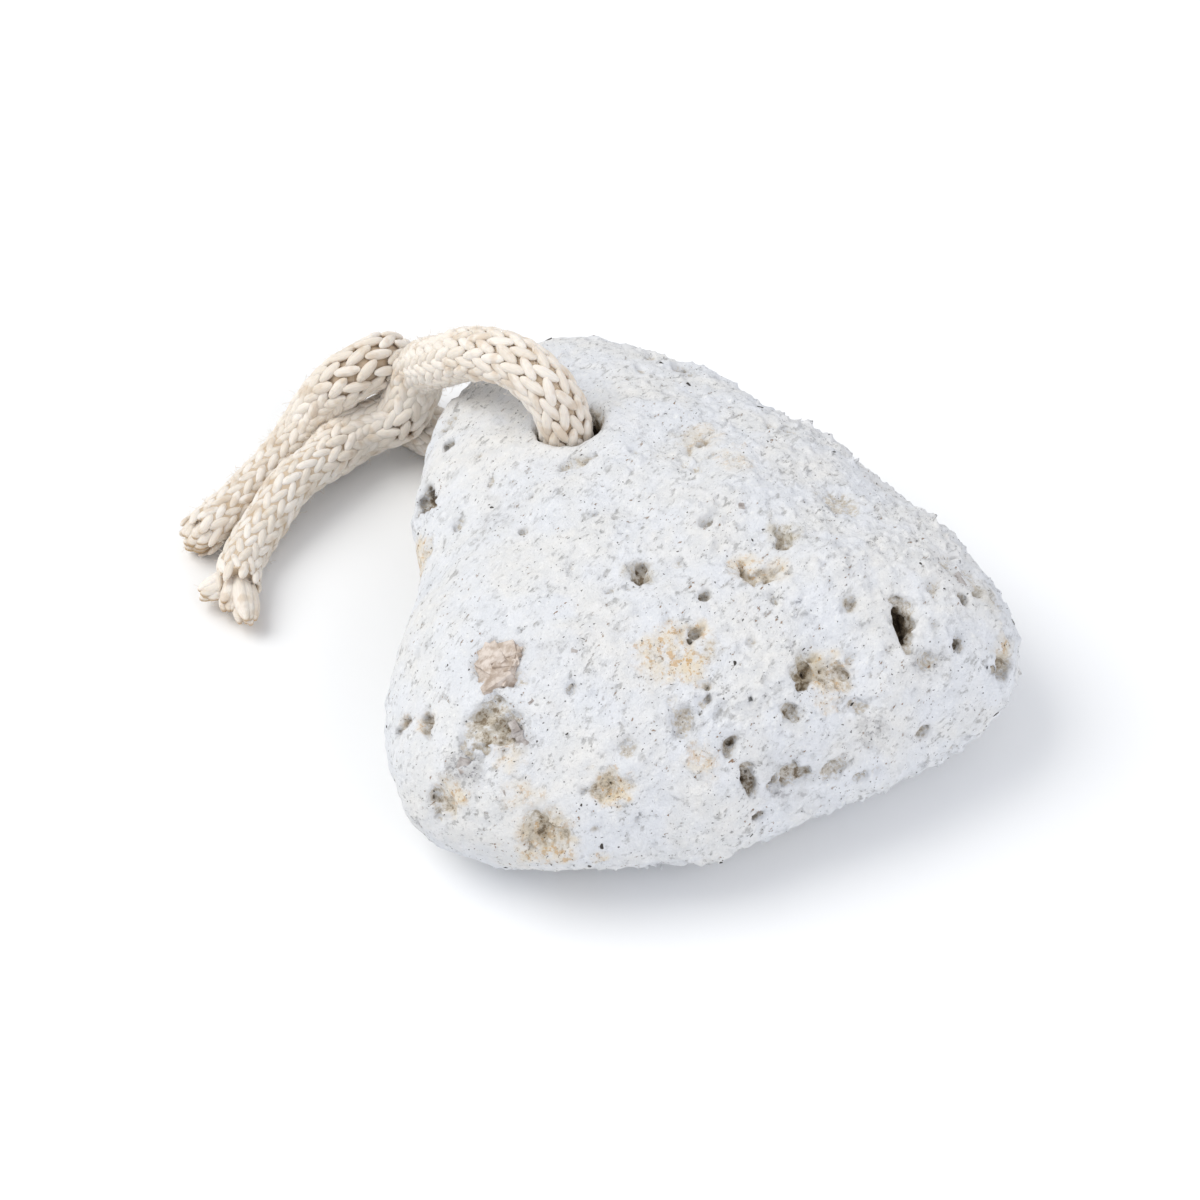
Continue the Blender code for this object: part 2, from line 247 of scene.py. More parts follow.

# %% [markdown]
# ## The rope's route
# The rope is soft cotton braid, 6.6 mm thick and about 183 mm long. It comes up out of the hole, arches over
# the narrow end, meets its other half, which has come round under the stone, and the two turn round each
# other once in a half-knot and lie down side by side. A rope can't change its length, so its centre line
# comes first: points given stretch by stretch, and one smooth curve through them all. In the knot and
# the tails, where they press on each other, the strands lie closer than the loop is thick.

# %% Route of the rope
TAIL_NEAR = [
    (-41.8, 26.8, 3.0), (-40.6, 30.2, 3.0), (-38.3, 33.3, 3.1),
    (-34.4, 36.7, 3.9), (-30.3, 39.8, 5.2), (-23.4, 43.6, 5.0),
]
KNOT_UNDER = [
    (-19.3, 46.2, 4.5), (-15.8, 45.9, 5.6), (-13.2, 44.2, 7.6), (-11.5, 44.2, 10.7), (-10.4, 43.6, 14.7),
]
LOOP_ABOVE = [
    (-10.3, 36.5, 21.8), (-8.2, 28.8, 28.4), (-5.4, 23.4, 30.2),
    (-3.4, 19.3, 28.8), (-2.1, 17.0, 24.6),
]
THROUGH_HOLE = [(-1.8, 16.9, 18.5), (-1.6, 17.0, 12.6)]
LOOP_BELOW = [
    (-2.0, 18.4, 7.8), (-2.8, 22.3, 4.6), (-3.4, 28.0, 3.9),
    (-5.0, 34.5, 3.7), (-7.8, 41.5, 3.5),
]
KNOT_OVER = [
    (-10.4, 47.5, 3.2), (-10.5, 50.1, 5.2), (-11.0, 50.8, 9.1), (-12.8, 49.6, 12.6), (-15.3, 48.6, 13.3),
    (-18.3, 48.8, 12.1), (-20.6, 50.8, 8.3), (-23.0, 51.2, 4.9), (-26.1, 49.6, 3.4),
]
TAIL_BACK = [(-29.8, 46.7, 3.0), (-33.5, 44.1, 3.0), (-37.5, 41.4, 3.0), (-43.4, 38.0, 3.0)]
HOLE = np.array([-1.6, 17.0])
CURVE_STEPS = 24                               # fine points from one guide point to the next
FIRST_COUNT = 400                              # points of the curve that is only measured
ROUTE_STEP = 0.5


def smooth_curve(points, count):
    """Points at even steps along the centripetal Catmull-Rom curve through the given points."""
    ends = [2.0 * points[0] - points[1], 2.0 * points[-1] - points[-2]]
    guides = np.array([ends[0], *points, ends[1]])
    fine = []
    for before, start, end, after in zip(guides, guides[1:], guides[2:], guides[3:]):
        t1 = np.linalg.norm(start - before) ** 0.5
        t2 = t1 + np.linalg.norm(end - start) ** 0.5
        t3 = t2 + np.linalg.norm(after - end) ** 0.5
        t = np.linspace(t1, t2, CURVE_STEPS, endpoint=False)[:, None]
        lead = (t1 - t) / t1 * before + t / t1 * start
        middle = (t2 - t) / (t2 - t1) * start + (t - t1) / (t2 - t1) * end
        trail = (t3 - t) / (t3 - t2) * end + (t - t2) / (t3 - t2) * after
        first = (t2 - t) / t2 * lead + t / t2 * middle
        second = (t3 - t) / (t3 - t1) * middle + (t - t1) / (t3 - t1) * trail
        fine.append((t2 - t) / (t2 - t1) * first + (t - t1) / (t2 - t1) * second)
    fine = np.vstack(fine + [guides[-2][None]])
    lengths = np.concatenate([[0.0], np.cumsum(np.linalg.norm(np.diff(fine, axis=0), axis=1))])
    wanted = np.linspace(0.0, lengths[-1], count)
    return np.stack([np.interp(wanted, lengths, fine[:, axis]) for axis in range(3)], axis=1)


def line_length(points):
    """The length of a line of points."""
    return float(np.linalg.norm(np.diff(points, axis=0), axis=1).sum())


stretches = [TAIL_NEAR, KNOT_UNDER, LOOP_ABOVE, THROUGH_HOLE, LOOP_BELOW, KNOT_OVER, TAIL_BACK]
guides = np.vstack([np.array(stretch, float) for stretch in stretches])
rope_length = line_length(smooth_curve(guides, FIRST_COUNT))
route = smooth_curve(guides, round(rope_length / ROUTE_STEP))
in_hole = int(np.linalg.norm(route - np.array(THROUGH_HOLE[0]), axis=1).argmin())
ROPE_HALVES = {"rope_upper": route[:in_hole + 1][::-1], "rope_lower": route[in_hole:]}
print("rope:", round(rope_length), "mm, in", [round(line_length(half)) for half in ROPE_HALVES.values()])

# %% [markdown]
# ## Cotton
# Undyed cotton is a warm cream. Each stitch of the braid is a bundle of fine fibres that runs along the
# stitch, so the material draws thin lines in that direction, lets the tone drift from stitch to stitch,
# paints shade, in brown, where a stitch dives under its neighbours, and browns in the patches that hands have
# soiled. The real fibres are 0.02 mm thick; they are drawn at 0.15 mm, just wide enough to show. A little
# sheen stands for the fuzz that catches light at the rim.

# %% Cotton material
FIBRE_WIDTH = 0.15
SOILED_PATCH = 2.4

cotton, add, shader = new_material("undyed cotton braid")
place = add("ShaderNodeAttribute", {}, "Vector", attribute_name="stitch_place")
tone = add("ShaderNodeAttribute", {}, "Fac", attribute_name="stitch_tone")
lift = add("ShaderNodeSeparateXYZ", {"Vector": place}, "Z")
# lines ten times as long as they are wide, which start afresh in each stitch
lines = add("ShaderNodeTexNoise", {
    "Vector": add("ShaderNodeMapping", {"Vector": place, "Scale": (0.1, 1.0, 1.0)}),
    "W": add("ShaderNodeMath", [tone, 90.0], operation="MULTIPLY"),
    "Scale": per_mm(FIBRE_WIDTH), "Detail": 2.0,
}, noise_dimensions="4D")
yarn = add("ShaderNodeMix", {"Factor": tone, "A": "#E6DCCF", "B": "#F2EBE2"}, data_type="RGBA")
# painted shade: the flanks of a stitch, where it dives under its neighbours, are drawn browner than its crown
crown = add("ShaderNodeMapRange", {"Value": lift, "From Min": -0.45 * MM, "From Max": -0.02 * MM})
yarn = add("ShaderNodeMix", {"Factor": crown, "A": "#B89A72", "B": yarn}, data_type="RGBA")
patch = add("ShaderNodeTexNoise", {
    "Vector": add("ShaderNodeTexCoord", {}, "Object"), "Scale": per_mm(SOILED_PATCH), "Detail": 2.0,
})
soiled = add("ShaderNodeMapRange", {
    "Value": patch, "From Min": 0.52, "From Max": 0.68, "To Max": 0.35,
}, interpolation_type="SMOOTHSTEP")
yarn = add("ShaderNodeMix", {"Factor": soiled, "A": yarn, "B": "#BA9C74"}, data_type="RGBA")
shade = add("ShaderNodeMapRange", {
    "Value": lines, "From Min": 0.35, "From Max": 0.65, "To Min": 0.92, "To Max": 1.02,
})
plug(shader, {
    "Base Color": add("ShaderNodeVectorMath", {0: yarn, "Scale": shade}, operation="SCALE"),
    "Normal": add("ShaderNodeBump", {"Height": lines, "Strength": 0.5, "Distance": 0.06 * MM}),
    "Roughness": 0.92, "Specular IOR Level": 0.2, "Sheen Weight": 0.15, "Subsurface Weight": 0.12,
    "Subsurface Radius": (0.6 * MM, 0.45 * MM, 0.3 * MM), "Subsurface Scale": 1.0,
})
print("material:", cotton.name)

# %% [markdown]
# ## The braid
# A solid braid shows plump stitches, like grains of rice, in columns along the rope; each column is set half
# a stitch on from its neighbours and leans the other way. A picture of stitches on a tube would look flat at
# the rim, and modelling yarns that really cross would take far more faces for the same look. So Geometry
# Nodes walk down the centre line in half stitches, put every second column's stitch on each step, turn it to
# the rope's surface and lean it, and add a core behind them, in the painted-shade brown of the stitches'
# flanks.

# %% Braid: the stitches' places
STITCH_SEGMENTS, STITCH_RINGS = 8, 7
CORE_SIDES = 14
CORE_PLACE = (0.0, 0.0, -0.26 * MM)            # the core shows between stitches, in the painted-shade brown of their flanks

braid_tree, add, ask = new_tree("braided rope", {
    "Half step": 1.35 * MM,
    "Column pairs": 8,
    "Stitch length": 3.7 * MM,
    "Stitch width": 1.45 * MM,
    "Stitch height": 0.78,                     # as a share of its width
    "Lean": math.radians(17.0),
    "Uneven lean": 0.28,
    "Uneven size": 0.07,
    "Uneven height": 0.09 * MM,
    "Rope radius": 3.3 * MM,
    "Sunk": -0.3,                              # how far stitches' middles lie inside it, in stitch widths
    "Core share": 0.82,
    "Seed": 1,
    "Material": None,
})
line = add("GeometryNodeMeshToCurve", {"Mesh": ask["Geometry"]})
squeeze = add("GeometryNodeInputNamedAttribute", {"Name": "squeeze"})
steps = add("GeometryNodeResampleCurve", {"Curve": line, "Length": ask["Half step"]}, mode="LENGTH")
rows = add("GeometryNodeCurveToPoints", {"Curve": steps}, mode="EVALUATED")
tangent, normal = (socket(rows.node.outputs, name) for name in ("Tangent", "Normal"))
row = add("GeometryNodeStoreNamedAttribute", {
    "Geometry": rows, "Name": "row", "Value": add("GeometryNodeInputIndex"),
}, data_type="INT")
spots = add("GeometryNodeDuplicateElements", {"Geometry": row, "Amount": ask["Column pairs"]}, domain="POINT")
row_number = add("GeometryNodeInputNamedAttribute", {"Name": "row"}, data_type="INT")
odd = add("ShaderNodeMath", [row_number, 2.0], operation="MODULO")
column = socket(spots.node.outputs, "Duplicate Index")
half_turns = add("ShaderNodeMath", [column, 2.0, odd], operation="MULTIPLY_ADD")
turns = add("ShaderNodeMath", [half_turns, ask["Column pairs"]], operation="DIVIDE")
outward = add("ShaderNodeVectorRotate", {
    "Vector": normal, "Axis": tangent, "Angle": add("ShaderNodeMath", [turns, math.pi], operation="MULTIPLY"),
}, rotation_type="AXIS_ANGLE")
chance = [add("FunctionNodeRandomValue", {"Min": -1.0, "Max": 1.0, "Seed": seed}) for seed in (11, 12, 13)]
sunk = add("ShaderNodeMath", [ask["Stitch width"], ask["Sunk"], ask["Rope radius"]], operation="MULTIPLY_ADD")
uneven = add("ShaderNodeMath", [chance[0], ask["Uneven height"], sunk], operation="MULTIPLY_ADD")
reach = add("ShaderNodeMath", [uneven, squeeze], operation="MULTIPLY")
placed = add("GeometryNodeSetPosition", {
    "Geometry": spots, "Offset": add("ShaderNodeVectorMath", {0: outward, "Scale": reach}, operation="SCALE"),
})
print("places stand in", len(braid_tree.nodes), "nodes")

# %% Braid: the stitches
side = add("ShaderNodeMath", [odd, 2.0, -1.0], operation="MULTIPLY_ADD")
lean = add("ShaderNodeMath", [chance[1], ask["Uneven lean"], side], operation="MULTIPLY_ADD")
along = add("ShaderNodeVectorRotate", {
    "Vector": tangent, "Axis": outward,
    "Angle": add("ShaderNodeMath", [lean, ask["Lean"]], operation="MULTIPLY"),
}, rotation_type="AXIS_ANGLE")
facing = add("FunctionNodeAxesToRotation", {
    "Primary Axis": outward, "Secondary Axis": along,
}, primary_axis="Z", secondary_axis="X")
ball = add("GeometryNodeMeshUVSphere", {"Segments": STITCH_SEGMENTS, "Rings": STITCH_RINGS, "Radius": 0.5})
stitch = add("GeometryNodeTransform", {"Geometry": ball, "Rotation": (0.0, math.pi / 2.0, 0.0)})
height = add("ShaderNodeMath", [ask["Stitch width"], ask["Stitch height"]], operation="MULTIPLY")
stitch = add("GeometryNodeTransform", {
    "Geometry": stitch,
    "Scale": add("ShaderNodeCombineXYZ", [ask["Stitch length"], ask["Stitch width"], height]),
})
stitch = add("GeometryNodeStoreNamedAttribute", {
    "Geometry": stitch, "Name": "stitch_place", "Value": add("GeometryNodeInputPosition"),
}, data_type="FLOAT_VECTOR")
stitch = add("GeometryNodeSetShadeSmooth", {"Geometry": stitch})
swell = add("ShaderNodeMath", [chance[2], ask["Uneven size"], 1.0], operation="MULTIPLY_ADD")
stitches = add("GeometryNodeInstanceOnPoints", {
    "Points": placed, "Instance": stitch, "Rotation": facing,
    "Scale": add("ShaderNodeMath", [swell, squeeze], operation="MULTIPLY"),
})
stitches = add("GeometryNodeStoreNamedAttribute", {
    "Geometry": stitches, "Name": "stitch_tone",
    "Value": add("FunctionNodeRandomValue", {"Seed": ask["Seed"]}),
}, domain="INSTANCE")
print("with the stitches:", len(braid_tree.nodes))

# %% Braid: the core
radius = add("ShaderNodeMath", [ask["Rope radius"], ask["Core share"]], operation="MULTIPLY")
core = add("GeometryNodeCurveToMesh", {
    "Curve": add("GeometryNodeSetCurveRadius", {"Curve": steps, "Radius": squeeze}),
    "Profile Curve": add("GeometryNodeCurvePrimitiveCircle", {"Resolution": CORE_SIDES, "Radius": radius}),
    "Fill Caps": True,
})
core = add("GeometryNodeStoreNamedAttribute", {
    "Geometry": core, "Name": "stitch_place", "Value": CORE_PLACE,
}, data_type="FLOAT_VECTOR")
core = add("GeometryNodeSetShadeSmooth", {"Geometry": core})
both = add("GeometryNodeJoinGeometry", {"Geometry": stitches})
plug(both.node, {"Geometry": core})
finish_tree(braid_tree, both, ask["Material"])

# %% [markdown]
# ## Loose fibres
# Cotton yarn is spun from short hairs, and their ends stand off the rope everywhere. A tree scatters points
# on whatever faces it is given, stands a thin bent hair on each, tilts and sizes it at random, and makes the
# hairs real. Painted hairs would be lost at the rim, where they are seen best, and particle hair isn't
# exported.

# %% Fibre tree
HAIR_STEPS, HAIR_SIDES = 6, 3
HAIR_PLACE = (0.0, 0.0, 1.0 * MM)              # hairs stand in the light, so they take the tone of a crown

fibre_tree, add, ask = new_tree("loose fibres", {
    "Density": 4.5e5,                          # in each square metre
    "Length": 1.0 * MM,
    "Thickness": 0.045 * MM,
    "Bend": 0.5,
    "Ripple": 0.09,
    "Spread": 1.2,
    "Seed": 1,
    "Material": None,
})
roots = add("GeometryNodeDistributePointsOnFaces", {
    "Mesh": ask["Geometry"], "Density": ask["Density"], "Seed": ask["Seed"],
})
stem = add("GeometryNodeCurvePrimitiveLine", {"End": add("ShaderNodeCombineXYZ", {"Z": ask["Length"]})})
stem = add("GeometryNodeResampleCurve", {"Curve": stem, "Count": HAIR_STEPS}, mode="COUNT")
part_way = add("GeometryNodeSplineParameter", {}, "Factor")
sag = add("ShaderNodeMath", [part_way, 2.0], operation="POWER")
sag = add("ShaderNodeMath", [sag, ask["Bend"]], operation="MULTIPLY")
sag = add("ShaderNodeMath", [sag, ask["Length"]], operation="MULTIPLY")
wave = add("ShaderNodeMath", [part_way, 5.0], operation="MULTIPLY")
wave = add("ShaderNodeMath", [wave], operation="SINE")
ripple = add("ShaderNodeMath", [ask["Length"], ask["Ripple"]], operation="MULTIPLY")
ripple = add("ShaderNodeMath", [wave, ripple], operation="MULTIPLY")
radius = add("ShaderNodeMath", [ask["Thickness"], 0.5], operation="MULTIPLY")
hair = add("GeometryNodeCurveToMesh", {
    "Curve": add("GeometryNodeSetPosition", {
        "Geometry": stem, "Offset": add("ShaderNodeCombineXYZ", {"X": sag, "Y": ripple}),
    }),
    "Profile Curve": add("GeometryNodeCurvePrimitiveCircle", {"Resolution": HAIR_SIDES, "Radius": radius}),
    "Fill Caps": True,
})
hair = add("GeometryNodeStoreNamedAttribute", {
    "Geometry": hair, "Name": "stitch_place", "Value": HAIR_PLACE,
}, data_type="FLOAT_VECTOR")
tilt = add("FunctionNodeRandomValue", {
    "Min": (-1.0, -1.0, 0.0), "Max": (1.0, 1.0, 0.0), "Seed": 3,
}, data_type="FLOAT_VECTOR")
tilt = add("ShaderNodeVectorMath", {0: tilt, "Scale": ask["Spread"]}, operation="SCALE")
spin = add("FunctionNodeRandomValue", {
    "Min": (0.0, 0.0, 0.0), "Max": (0.0, 0.0, 2.0 * math.pi), "Seed": 4,
}, data_type="FLOAT_VECTOR")
turned = socket(roots.node.outputs, "Rotation")
for by in (tilt, spin):
    turned = add("FunctionNodeRotateRotation", {"Rotation": turned, "Rotate By": by}, rotation_space="LOCAL")
hairs = add("GeometryNodeInstanceOnPoints", {
    "Points": roots, "Instance": hair, "Rotation": turned,
    "Scale": add("FunctionNodeRandomValue", {"Min": 0.45, "Max": 1.15, "Seed": 5}),
})
hairs = add("GeometryNodeStoreNamedAttribute", {
    "Geometry": hairs, "Name": "stitch_tone",
    "Value": add("FunctionNodeRandomValue", {"Min": 0.4, "Max": 1.0, "Seed": 6}),
}, domain="INSTANCE")
finish_tree(fibre_tree, hairs, ask["Material"])

# %% [markdown]
# ## Yarns at the cut ends
# Where the braid has come undone at an end, its yarns lie side by side in soft stubs. Each yarn is one long
# thin ellipsoid, because that gives the rounded tips of a rubbed end, and a little sideways drift keeps the
# stub from looking machined. The yarns of one end have parted into three stubs; those of the other keep
# together in one.

# %% Yarns
YARN_THICKNESS = 1.9
YARN_RINGS, YARN_SIDES = 9, 8
YARN_ENDS = {
    # piece: for each stub, the place of its tip, its radius and its number of yarns
    "rope_upper": [((-46.6, 28.2, 2.7), 1.9, 6), ((-42.6, 20.8, 2.7), 2.0, 6), ((-44.2, 24.6, 2.6), 1.8, 6)],
    "rope_lower": [((-45.2, 37.0, 3.1), 2.6, 11)],
}
YARN_TURN = 2.4                                # radians from one yarn to the next, near the golden angle
YARN_DRIFT = 0.25                              # how far a yarn's ends stray sideways, at most
TIP_BROWN = 0.4                                # how deep in shade the soiled tips are drawn
TIP_ROUNDING = 0.35                            # how much shorter the outer yarns are, for each mm out
YARN_LENGTHS, YARN_SIZES = (0.88, 1.0), (0.95, 1.1)


def yarn_form():
    """One yarn's points, between -1 and 1 along X, and its faces."""
    rings = np.linspace(0.0, math.pi, YARN_RINGS + 2)[1:-1]
    sides = np.linspace(0.0, 2.0 * math.pi, YARN_SIDES + 1)[:-1]
    points = [
        (-math.cos(ring), math.sin(ring) * math.cos(side), math.sin(ring) * math.sin(side))
        for ring in rings for side in sides
    ]
    first_tip, last_tip, last = len(points), len(points) + 1, YARN_SIDES * (YARN_RINGS - 1)
    faces = []
    for ring, side in np.ndindex(YARN_RINGS - 1, YARN_SIDES):
        here, beside = YARN_SIDES * ring + side, YARN_SIDES * ring + (side + 1) % YARN_SIDES
        faces.append((here, here + YARN_SIDES, beside + YARN_SIDES, beside))
    faces += [(first_tip, side, (side + 1) % YARN_SIDES) for side in range(YARN_SIDES)]
    faces += [(last_tip, last + (side + 1) % YARN_SIDES, last + side) for side in range(YARN_SIDES)]
    return np.array([*points, (-1.0, 0.0, 0.0), (1.0, 0.0, 0.0)]), faces


def yarns(start, tip, radius, count, seed):
    """Yarns that lie side by side from a start to a rounded tip, as one mesh with the braid's attributes."""
    rng = np.random.default_rng(seed)
    reach = np.linalg.norm(tip - start)
    along = (tip - start) / reach
    across = np.cross(along, [0.0, 0.0, 1.0])
    up = np.cross(across, along)
    form, form_faces = yarn_form()
    points, faces, places, tones = [], [], [], []
    for yarn in range(count):
        out = (radius - YARN_THICKNESS / 2.0) * math.sqrt(yarn / max(count - 1, 1))
        turn = YARN_TURN * yarn + rng.uniform(-0.2, 0.2)
        aside = out * (math.cos(turn) * across + math.sin(turn) * up)
        length = reach * rng.uniform(*YARN_LENGTHS) - TIP_ROUNDING * out
        half = np.array([length / 2.0, YARN_THICKNESS / 2.0, YARN_THICKNESS / 2.0]) * rng.uniform(*YARN_SIZES)
        shape = form * half
        towards_tip = shape[:, :1] / half[0]
        bend = rng.uniform(-YARN_DRIFT, YARN_DRIFT, size=2) * towards_tip ** 2
        placed = start + (length / 2.0 + shape[:, :1]) * along + aside
        placed = placed + (shape[:, 1:2] + bend[:, :1]) * across + (shape[:, 2:] + bend[:, 1:]) * up
        faces += [tuple(corner + len(points) * len(form) for corner in face) for face in form_faces]
        points.append(placed)
        places.append((shape - np.array([0.0, 0.0, TIP_BROWN]) * towards_tip ** 4) * MM)
        tones += [rng.random()] * len(form)
    mesh = mesh_from("yarns", np.vstack(points), faces)
    store(mesh, "stitch_place", np.vstack(places), "FLOAT_VECTOR")
    store(mesh, "stitch_tone", tones)
    return mesh


print("yarns:", sum(count for stubs in YARN_ENDS.values() for _, _, count in stubs))

# %% [markdown]
# ## The two halves of the rope
# The rope enters the stone, so what is seen is two lengths that both leave the hole: one from its upper mouth
# and one from its lower. Each is braided along its own half of the route, is thinner where it is pressed and
# thicker in the knot, where the braid spreads, and gets its stubs of yarn and its fuzz.

# %% Make the rope
TAIL_SQUEEZE, KNOT_SQUEEZE = 0.86, 1.05
KNOT = np.array([-15.0, 47.5, 8.5])
KNOT_INSIDE, KNOT_OUTSIDE = 7.0, 13.0          # how far from its middle the knot's spread is full, and ends
PRESSED_FROM, PRESSED_FULLY = 26.0, 31.0       # how far from the hole's axis the squeeze starts, and is full
FRAYED = {"rope_upper": 3, "rope_lower": 2}    # steps of the route that have come unbraided
HEADING_STEPS = 5                              # steps that show which way a cut end points
YARNS_BACK = 1.6                               # how far back inside the braid its yarns start
FLOOR_GAP = 0.4                                # what would lie lower than this is pressed flat


def lie_on_floor(mesh):
    """Press what would dip below the floor into the last bit above it."""
    places = np.empty(3 * len(mesh.vertices))
    mesh.vertices.foreach_get("co", places)
    height, limit = places[2::3], FLOOR_GAP * MM
    places[2::3] = np.where(height < limit, limit * np.exp(np.minimum(height - limit, 0.0) / limit), height)
    mesh.vertices.foreach_set("co", places)


ropes = {}
for seed, (name, half) in enumerate(ROPE_HALVES.items(), 1):
    braided = half[:-FRAYED[name]]
    line_mesh = mesh_from(name + "_line", braided, edges=[(k, k + 1) for k in range(len(braided) - 1)])
    away = np.linalg.norm(braided[:, :2] - HOLE, axis=1)
    knotted = 1.0 - ease(np.linalg.norm(braided - KNOT, axis=1), KNOT_INSIDE, KNOT_OUTSIDE)
    pressed = TAIL_SQUEEZE + (KNOT_SQUEEZE - TAIL_SQUEEZE) * knotted
    store(line_mesh, "squeeze", 1.0 - (1.0 - pressed) * ease(away, PRESSED_FROM, PRESSED_FULLY))
    parts = [grow(braid_tree, line_mesh, {"Seed": seed, "Material": cotton})]
    heading = braided[-1] - braided[-1 - HEADING_STEPS]
    start = braided[-1] - YARNS_BACK * heading / np.linalg.norm(heading)
    for number, (tip, radius, count) in enumerate(YARN_ENDS[name]):
        parts.append(yarns(start, np.array(tip), radius, count, 10 * seed + number))
    parts += [grow(fibre_tree, part.copy(), {"Seed": seed, "Material": cotton}) for part in parts]
    ropes[name] = join(name, parts, cotton)
    lie_on_floor(ropes[name].data)
    print(name, len(ropes[name].data.polygons), "faces")

# %% [markdown]
# ## The rope on the stone
# A rope could be moved without the stone, but here each length is only hung on the root body, with the stone,
# and the plain rope solid of the frame is hidden. The far ends are bare. Cotton braid this thick holds a
# gentle curve but not its own weight.

for name, piece in ropes.items():
    half = ROPE_HALVES[name]
    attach(piece, "root")
    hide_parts("rope")
print("cords:", sorted(ropes))
# %% [markdown]
# ## The stone's form
# The stone has been worn to a rounded triangle that is thicker at its wide end. Its outline is a smooth
# closed curve through sixteen radii; its top and its underside are two domes over that outline, and a flat is
# worn on the underside where it rests. The form is written as a field: a number at each point of space that
# is below zero inside the stone and above zero outside, and that is roughly the distance to the skin. Bubbles
# are easy to take out of a field, by hundreds and with ragged walls, where Boolean cuts on a mesh of this
# detail would be slow and fragile.

# %% The smooth form as a field
OUTLINE_RADII = [34.5, 33, 33.5, 38.5, 40, 34.5, 29, 26, 30.5, 41.5, 44.5, 41, 40, 41, 46.5, 41]
CREST_WIDE, CREST_NARROW = 29.0, 24.0
WAIST_WIDE, WAIST_NARROW = 10.5, 15.5
UNDER_WIDE, UNDER_NARROW = -1.2, 8.4
CREST_FROM, CREST_TO = -35.0, 40.0
UNDER_FROM, UNDER_TO = -8.0, 14.0
TOP_FULLNESS, TOP_SHOULDER = 2.3, 2.0
BASE_FULLNESS, BASE_SHOULDER = 3.0, 2.2
LUMP_SEED, LUMP_COUNT, LUMP_HEIGHT, LUMP_LENGTHS = 7, 12, 0.13, (9.0, 24.0)
FLAT_ROUNDING = 0.8                            # how softly the flat that it rests on meets the rest
DISHES = [
    # x, y, z, radius, depth
    (22.5, -10.5, 25.0, 7.0, 1.1), (-10.0, 22.0, 22.5, 6.0, 0.8), (-7.5, -25.0, 25.0, 5.0, 0.9),
    (2.0, -39.5, 15.0, 5.5, 1.3), (10.5, 6.0, 25.5, 4.0, 0.7), (-24.5, 4.0, 21.0, 6.0, 0.7),
    (30.0, 8.0, 17.0, 7.0, 1.0),
]
VOXEL = 0.46
GRID_LOW = np.array([-41.0, -42.4, -1.6])
GRID_HIGH = np.array([41.0, 43.0, 29.6])

counts = np.ceil((GRID_HIGH - GRID_LOW) / VOXEL).astype(int) + 1
axes = [GRID_LOW[k] + VOXEL * np.arange(counts[k]) for k in range(3)]
X, Y, Z = np.ix_(*axes)


def outline_radius(angle):
    """The outline's radius at an angle: the sum of cosines that runs through OUTLINE_RADII."""
    count = len(OUTLINE_RADII)
    waves = np.fft.rfft(OUTLINE_RADII) / count
    radius = waves[0].real
    for k in range(1, count // 2 + 1):
        weight = 1.0 if 2 * k == count else 2.0
        radius = radius + weight * (waves[k].real * np.cos(k * angle) - waves[k].imag * np.sin(k * angle))
    return radius


def heights(y):
    """The crest, the waist and the underside at a place along the stone."""
    along = ease(y, CREST_FROM, CREST_TO)
    crest = CREST_WIDE + (CREST_NARROW - CREST_WIDE) * along
    waist = WAIST_WIDE + (WAIST_NARROW - WAIST_WIDE) * along
    return crest, waist, UNDER_WIDE + (UNDER_NARROW - UNDER_WIDE) * ease(y, UNDER_FROM, UNDER_TO)


def blank_point(direction):
    """Where a point of the unit sphere goes on the smooth form."""
    angle = math.atan2(direction[1], direction[0])
    out = min(1.0, math.hypot(direction[0], direction[1]))
    x, y = outline_radius(angle) * out * np.array([math.cos(angle), math.sin(angle)])
    crest, waist, under = heights(y)
    if direction[2] >= 0.0:
        return np.array([x, y, waist + (crest - waist) * (1.0 - out ** TOP_FULLNESS) ** (1.0 / TOP_SHOULDER)])
    return np.array([x, y, waist - (waist - under) * (1.0 - out ** BASE_FULLNESS) ** (1.0 / BASE_SHOULDER)])


def smooth_max(a, b, width):
    """The larger of two fields, rounded where they cross."""
    near = np.maximum(width - np.abs(a - b), 0.0) / width
    return np.maximum(a, b) + near * near * width / 4.0


outward = np.hypot(X, Y) / outline_radius(np.arctan2(Y, X))
crest, waist, under = heights(Y)
top = outward ** TOP_FULLNESS + (np.maximum(Z - waist, 0.0) / (crest - waist)) ** TOP_SHOULDER - 1.0
base = outward ** BASE_FULLNESS + (np.maximum(waist - Z, 0.0) / (waist - under)) ** BASE_SHOULDER - 1.0
form = np.where(Z >= waist, top, base)
slope = np.sqrt(sum(g * g for g in np.gradient(form, VOXEL)))
skin = form / np.maximum(slope, 0.01)

rng = np.random.default_rng(LUMP_SEED)
directions = rng.normal(size=(LUMP_COUNT, 3))
directions /= np.linalg.norm(directions, axis=1)[:, None]
wavelengths = rng.uniform(*LUMP_LENGTHS, size=LUMP_COUNT)
phases = rng.uniform(0.0, 2.0 * math.pi, size=LUMP_COUNT)
for (dx, dy, dz), wavelength, phase in zip(directions, wavelengths, phases):
    skin -= LUMP_HEIGHT * np.sin((dx * X + dy * Y + dz * Z) * 2.0 * math.pi / wavelength + phase)
for x, y, z, radius, depth in DISHES:
    skin += depth * np.exp(-((X - x) ** 2 + (Y - y) ** 2 + (Z - z) ** 2) / radius ** 2)
skin = smooth_max(skin, -Z, FLAT_ROUNDING)
print("grid", counts, "stone volume", round(float((skin < 0).sum()) * VOXEL ** 3 / 1000.0, 1), "cm3")

